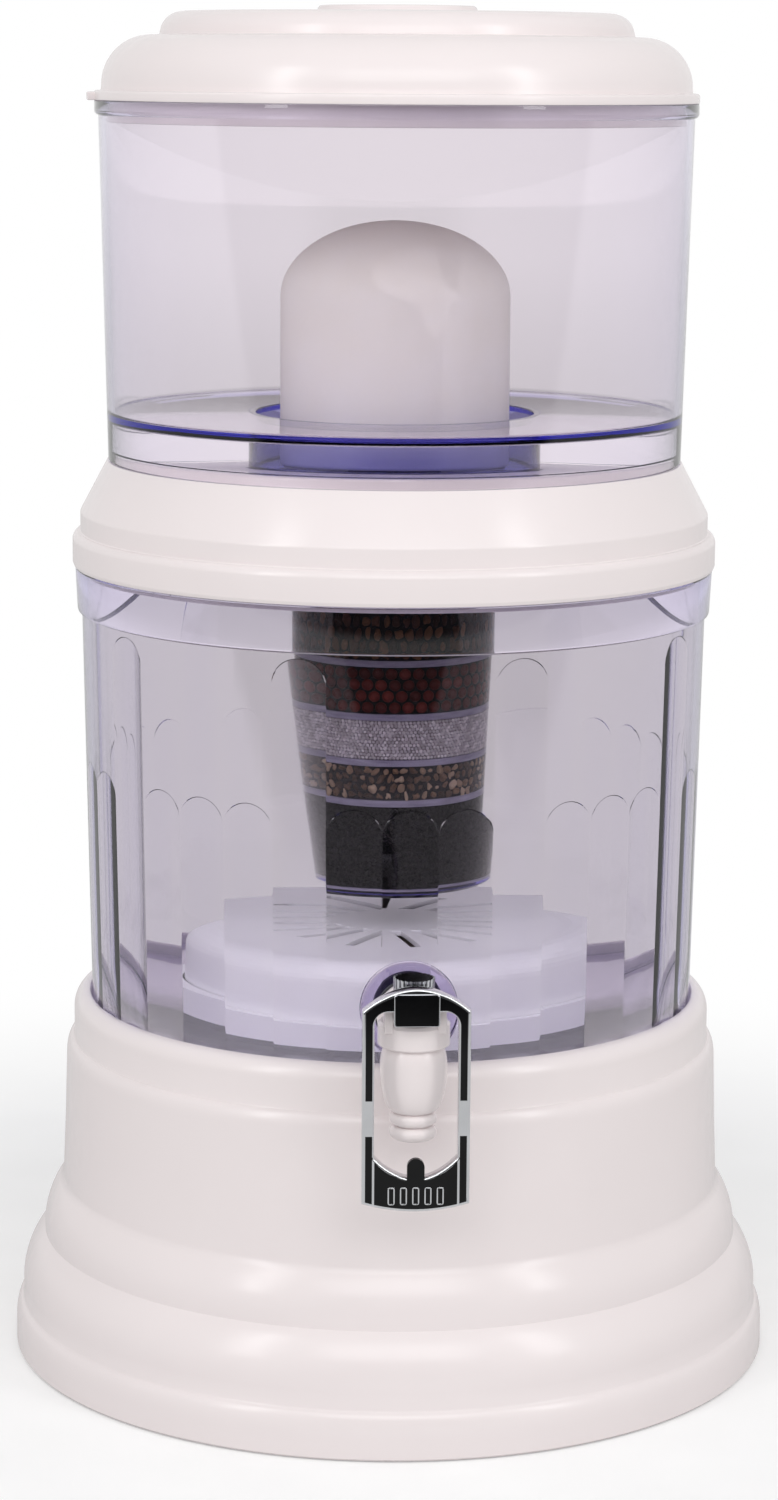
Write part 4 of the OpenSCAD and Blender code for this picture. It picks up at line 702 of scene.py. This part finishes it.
# The tap lever: a chromed frame with a bowed top, foot and window, and a rim round its block
LEVER_HALF, LEVER_TOP_Z, LEVER_FOOT_Z = 19.4, 181.5, 99.3
WINDOW_HALF, WINDOW_TOP_Z, WINDOW_FOOT_Z = 15.0, 172.9, 111.6
outline = bow(LEVER_HALF, LEVER_TOP_Z, -8.2, 25) + bow(-LEVER_HALF, LEVER_FOOT_Z, 3.0, 17)
window = [(-WINDOW_HALF, WINDOW_TOP_Z, 5), (WINDOW_HALF, WINDOW_TOP_Z, 5)]
window = soften(window + sharp(bow(-WINDOW_HALF, WINDOW_FOOT_Z, 7.8, 17)), 9)
bars = slab(even(outline, 240), -162.52, -156.6, 0.9, even(window, 240))
rim = slab(framed(0, 173.75, 8.2, 5.85, 0.8, 80), -163.7, -157.0, 0.3, framed(0, 173.9, 7.45, 5.35, 0.3, 80))
piece("lever_bars", join(bars, rim), "chrome", "tap_lever", ("lever_frame",), 40)

# Silver marks round the five grip ribs of the lever's plate
MARK_Z = 105.45
marks = [
    slab(framed(x, MARK_Z, 1.3, 3.3, 0.9, 48), -163.2, -162.4, 0.15, framed(x, MARK_Z, 0.7, 2.7, 0, 48))
    for x in (-8.8, -4.4, 0, 4.4, 8.8)
]
piece("grip_marks", join(*marks), "chrome", "tap_lever")

# Every CAD node gets the material of its slot
slots = {s["node"]: s["material_slot"] for s in frame["record"]["subparts"]}
for name, node in frame["nodes"].items():
    node.data.materials.clear()
    node.data.materials.append(MATERIALS[slots[name]])


# ---------------------------------------------------------------- stage, lamps and camera

scene = bpy.context.scene


def lamp(name, place, aim, size, power):
    """A rectangular soft box at place in metres that faces aim."""
    data = bpy.data.lights.new(name, "AREA")
    data.shape, data.size, data.size_y = "RECTANGLE", *size
    data.energy = power
    obj = bpy.data.objects.new(name, data)
    obj.location = place
    back = np.array(place) - np.array(aim)
    obj.rotation_euler = Vector(back).to_track_quat("Z", "Y").to_euler()
    obj.visible_transmission = False  # the clear walls don't show it twice
    scene.collection.objects.link(obj)


lamp("soft box left", (-1.25, -1.15, 1.15), (0, 0, 0.36), (0.30, 1.2), 5.5)
lamp("soft box right", (1.25, -1.15, 1.15), (0, 0, 0.36), (0.30, 1.2), 5.5)
lamp("soft box above", (0, -1.6, 1.25), (0, 0, 0.30), (1.5, 0.8), 7.5)

# How bright the surroundings are: for matt surfaces, and as seen in front, near behind and farther away
FILL, DARK, NEAR, FAR = 0.62, 0.05, 0.66, 0.90
GLOW = 0.26  # what the paper adds straight to the camera


def looks(tree, seen):
    """How bright the surroundings are for a ray.

    It is 1 for a ray straight to the camera, seen for one that came by clear plastic or a mirror, and
    FILL for one that lights a matt surface, also inside the tanks.
    """
    path = add(tree, "LightPath").outputs
    by_way = {0: path["Is Glossy Ray"], 1: path["Is Transmission Ray"]}
    by_way = {0: add(tree, "Math", by_way, operation="MAXIMUM").outputs[0], 1: path["Diffuse Depth"]}
    by_way = add(tree, "Math", by_way, operation="SUBTRACT", use_clamp=True).outputs[0]
    level = add(tree, "Mix", {0: by_way, 2: FILL, 3: seen}).outputs[0]
    return add(tree, "Mix", {0: path["Is Camera Ray"], 2: level, 3: 1.0}).outputs[0]


def dark_ahead(tree, along, start, end, high):
    """DARK up to along = start and high from along = end, smoothly, for rays that were mirrored m times.

    It is 1 for rays that weren't: max(value, 1 - m).
    """
    spans = {"Value": along, "From Min": start, "From Max": end, "To Min": DARK, "To Max": high}
    rising = add(tree, "MapRange", spans, interpolation_type="SMOOTHSTEP").outputs[0]
    times = add(tree, "LightPath").outputs["Glossy Depth"]
    direct = add(tree, "Math", {0: 1.0, 1: times}, operation="SUBTRACT", use_clamp=True).outputs[0]
    return add(tree, "Math", {0: rising, 1: direct}, operation="MAXIMUM").outputs[0]


# The world: a white studio, which mirrored rays see dark in front of the object
world = bpy.data.worlds.new("studio")
scene.world = world
world.use_nodes = True
tree = world.node_tree
tree.nodes.clear()
ahead = add(tree, "SeparateXYZ", {0: add(tree, "TexCoord").outputs["Generated"]}).outputs["Y"]
level = looks(tree, dark_ahead(tree, ahead, -0.97, -0.75, FAR))
studio = add(tree, "Background", {"Color": srgb("#FFFFFF"), "Strength": level})
add(tree, "OutputWorld", {"Surface": studio.outputs[0]})

# The floor: pale paper under the object, where it keeps the shadow, and plain white farther out
FLOOR_R, FLOOR_Z, CORNERS = 12, -0.0005, 64
t = np.linspace(0, 2 * math.pi, CORNERS, endpoint=False)
mesh = bpy.data.meshes.new("floor")
points = [(FLOOR_R * math.cos(a), FLOOR_R * math.sin(a), FLOOR_Z) for a in t]
mesh.from_pydata(points, [], [list(range(CORNERS))])
mat = bpy.data.materials.new("white paper sweep")
mat.use_nodes = True
tree = mat.node_tree
tree.nodes.clear()
place = add(tree, "TexCoord").outputs["Object"]
along = add(tree, "SeparateXYZ", {0: place}).outputs["Y"]
away = add(tree, "VectorMath", {0: place}, operation="LENGTH").outputs["Value"]
front = dark_ahead(tree, along, -0.88, -0.72, 1.0)
spans = {"Value": along, "From Min": 1.0, "From Max": 9.0, "To Min": NEAR, "To Max": FAR}
back = add(tree, "MapRange", spans, interpolation_type="SMOOTHSTEP").outputs[0]
level = looks(tree, add(tree, "Math", {0: front, 1: back}, operation="MULTIPLY").outputs[0])
grey = add(tree, "ValToRGB", {"Fac": pattern(tree, 40)}, ((0.3, "#E2E2E2"), (0.7, "#E6E6E6")))
paper = add(tree, "BsdfDiffuse", {"Color": grey.outputs["Color"]})
glow = {0: add(tree, "LightPath").outputs["Is Camera Ray"], 1: GLOW}
glow = add(tree, "Math", glow, operation="MULTIPLY").outputs[0]
glow = add(tree, "Emission", {"Color": srgb("#FFFFFF"), "Strength": glow})
lit = add(tree, "AddShader", {0: paper.outputs[0], 1: glow.outputs[0]})
plain = add(tree, "Emission", {"Color": srgb("#FFFFFF"), "Strength": level})
spans = {"Value": away, "From Min": 0.24, "From Max": 0.6, "To Min": 0.0, "To Max": 1.0}
afar = add(tree, "MapRange", spans, interpolation_type="SMOOTHSTEP").outputs[0]
both = add(tree, "MixShader", {0: afar, 1: lit.outputs[0], 2: plain.outputs[0]})
add(tree, "OutputMaterial", {"Surface": both.outputs[0]})
mesh.materials.append(mat)
floor = bpy.data.objects.new("floor", mesh)
scene.collection.objects.link(floor)

# The camera, fitted to the photograph
camera = bpy.data.objects.new("camera", bpy.data.cameras.new("camera"))
camera.data.sensor_width, camera.data.sensor_fit = 36.0, "AUTO"
camera.data.lens = 89.21
camera.location = (0.0022, -1.442, 0.504)
camera.matrix_world = (
    Matrix.Rotation(math.radians(-3.4), 4, "Z")
    @ Matrix.Translation(camera.location)
    @ Matrix.Rotation(math.radians(0.141), 4, "Z")
    @ Matrix.Rotation(math.radians(79.538), 4, "X")
    @ Matrix.Rotation(math.radians(0.384), 4, "Z")
)
scene.collection.objects.link(camera)
scene.camera = camera

scene.view_settings.view_transform = "Standard"
scene.cycles.max_bounces = 20
scene.cycles.transmission_bounces = 20
scene.cycles.transparent_max_bounces = 16
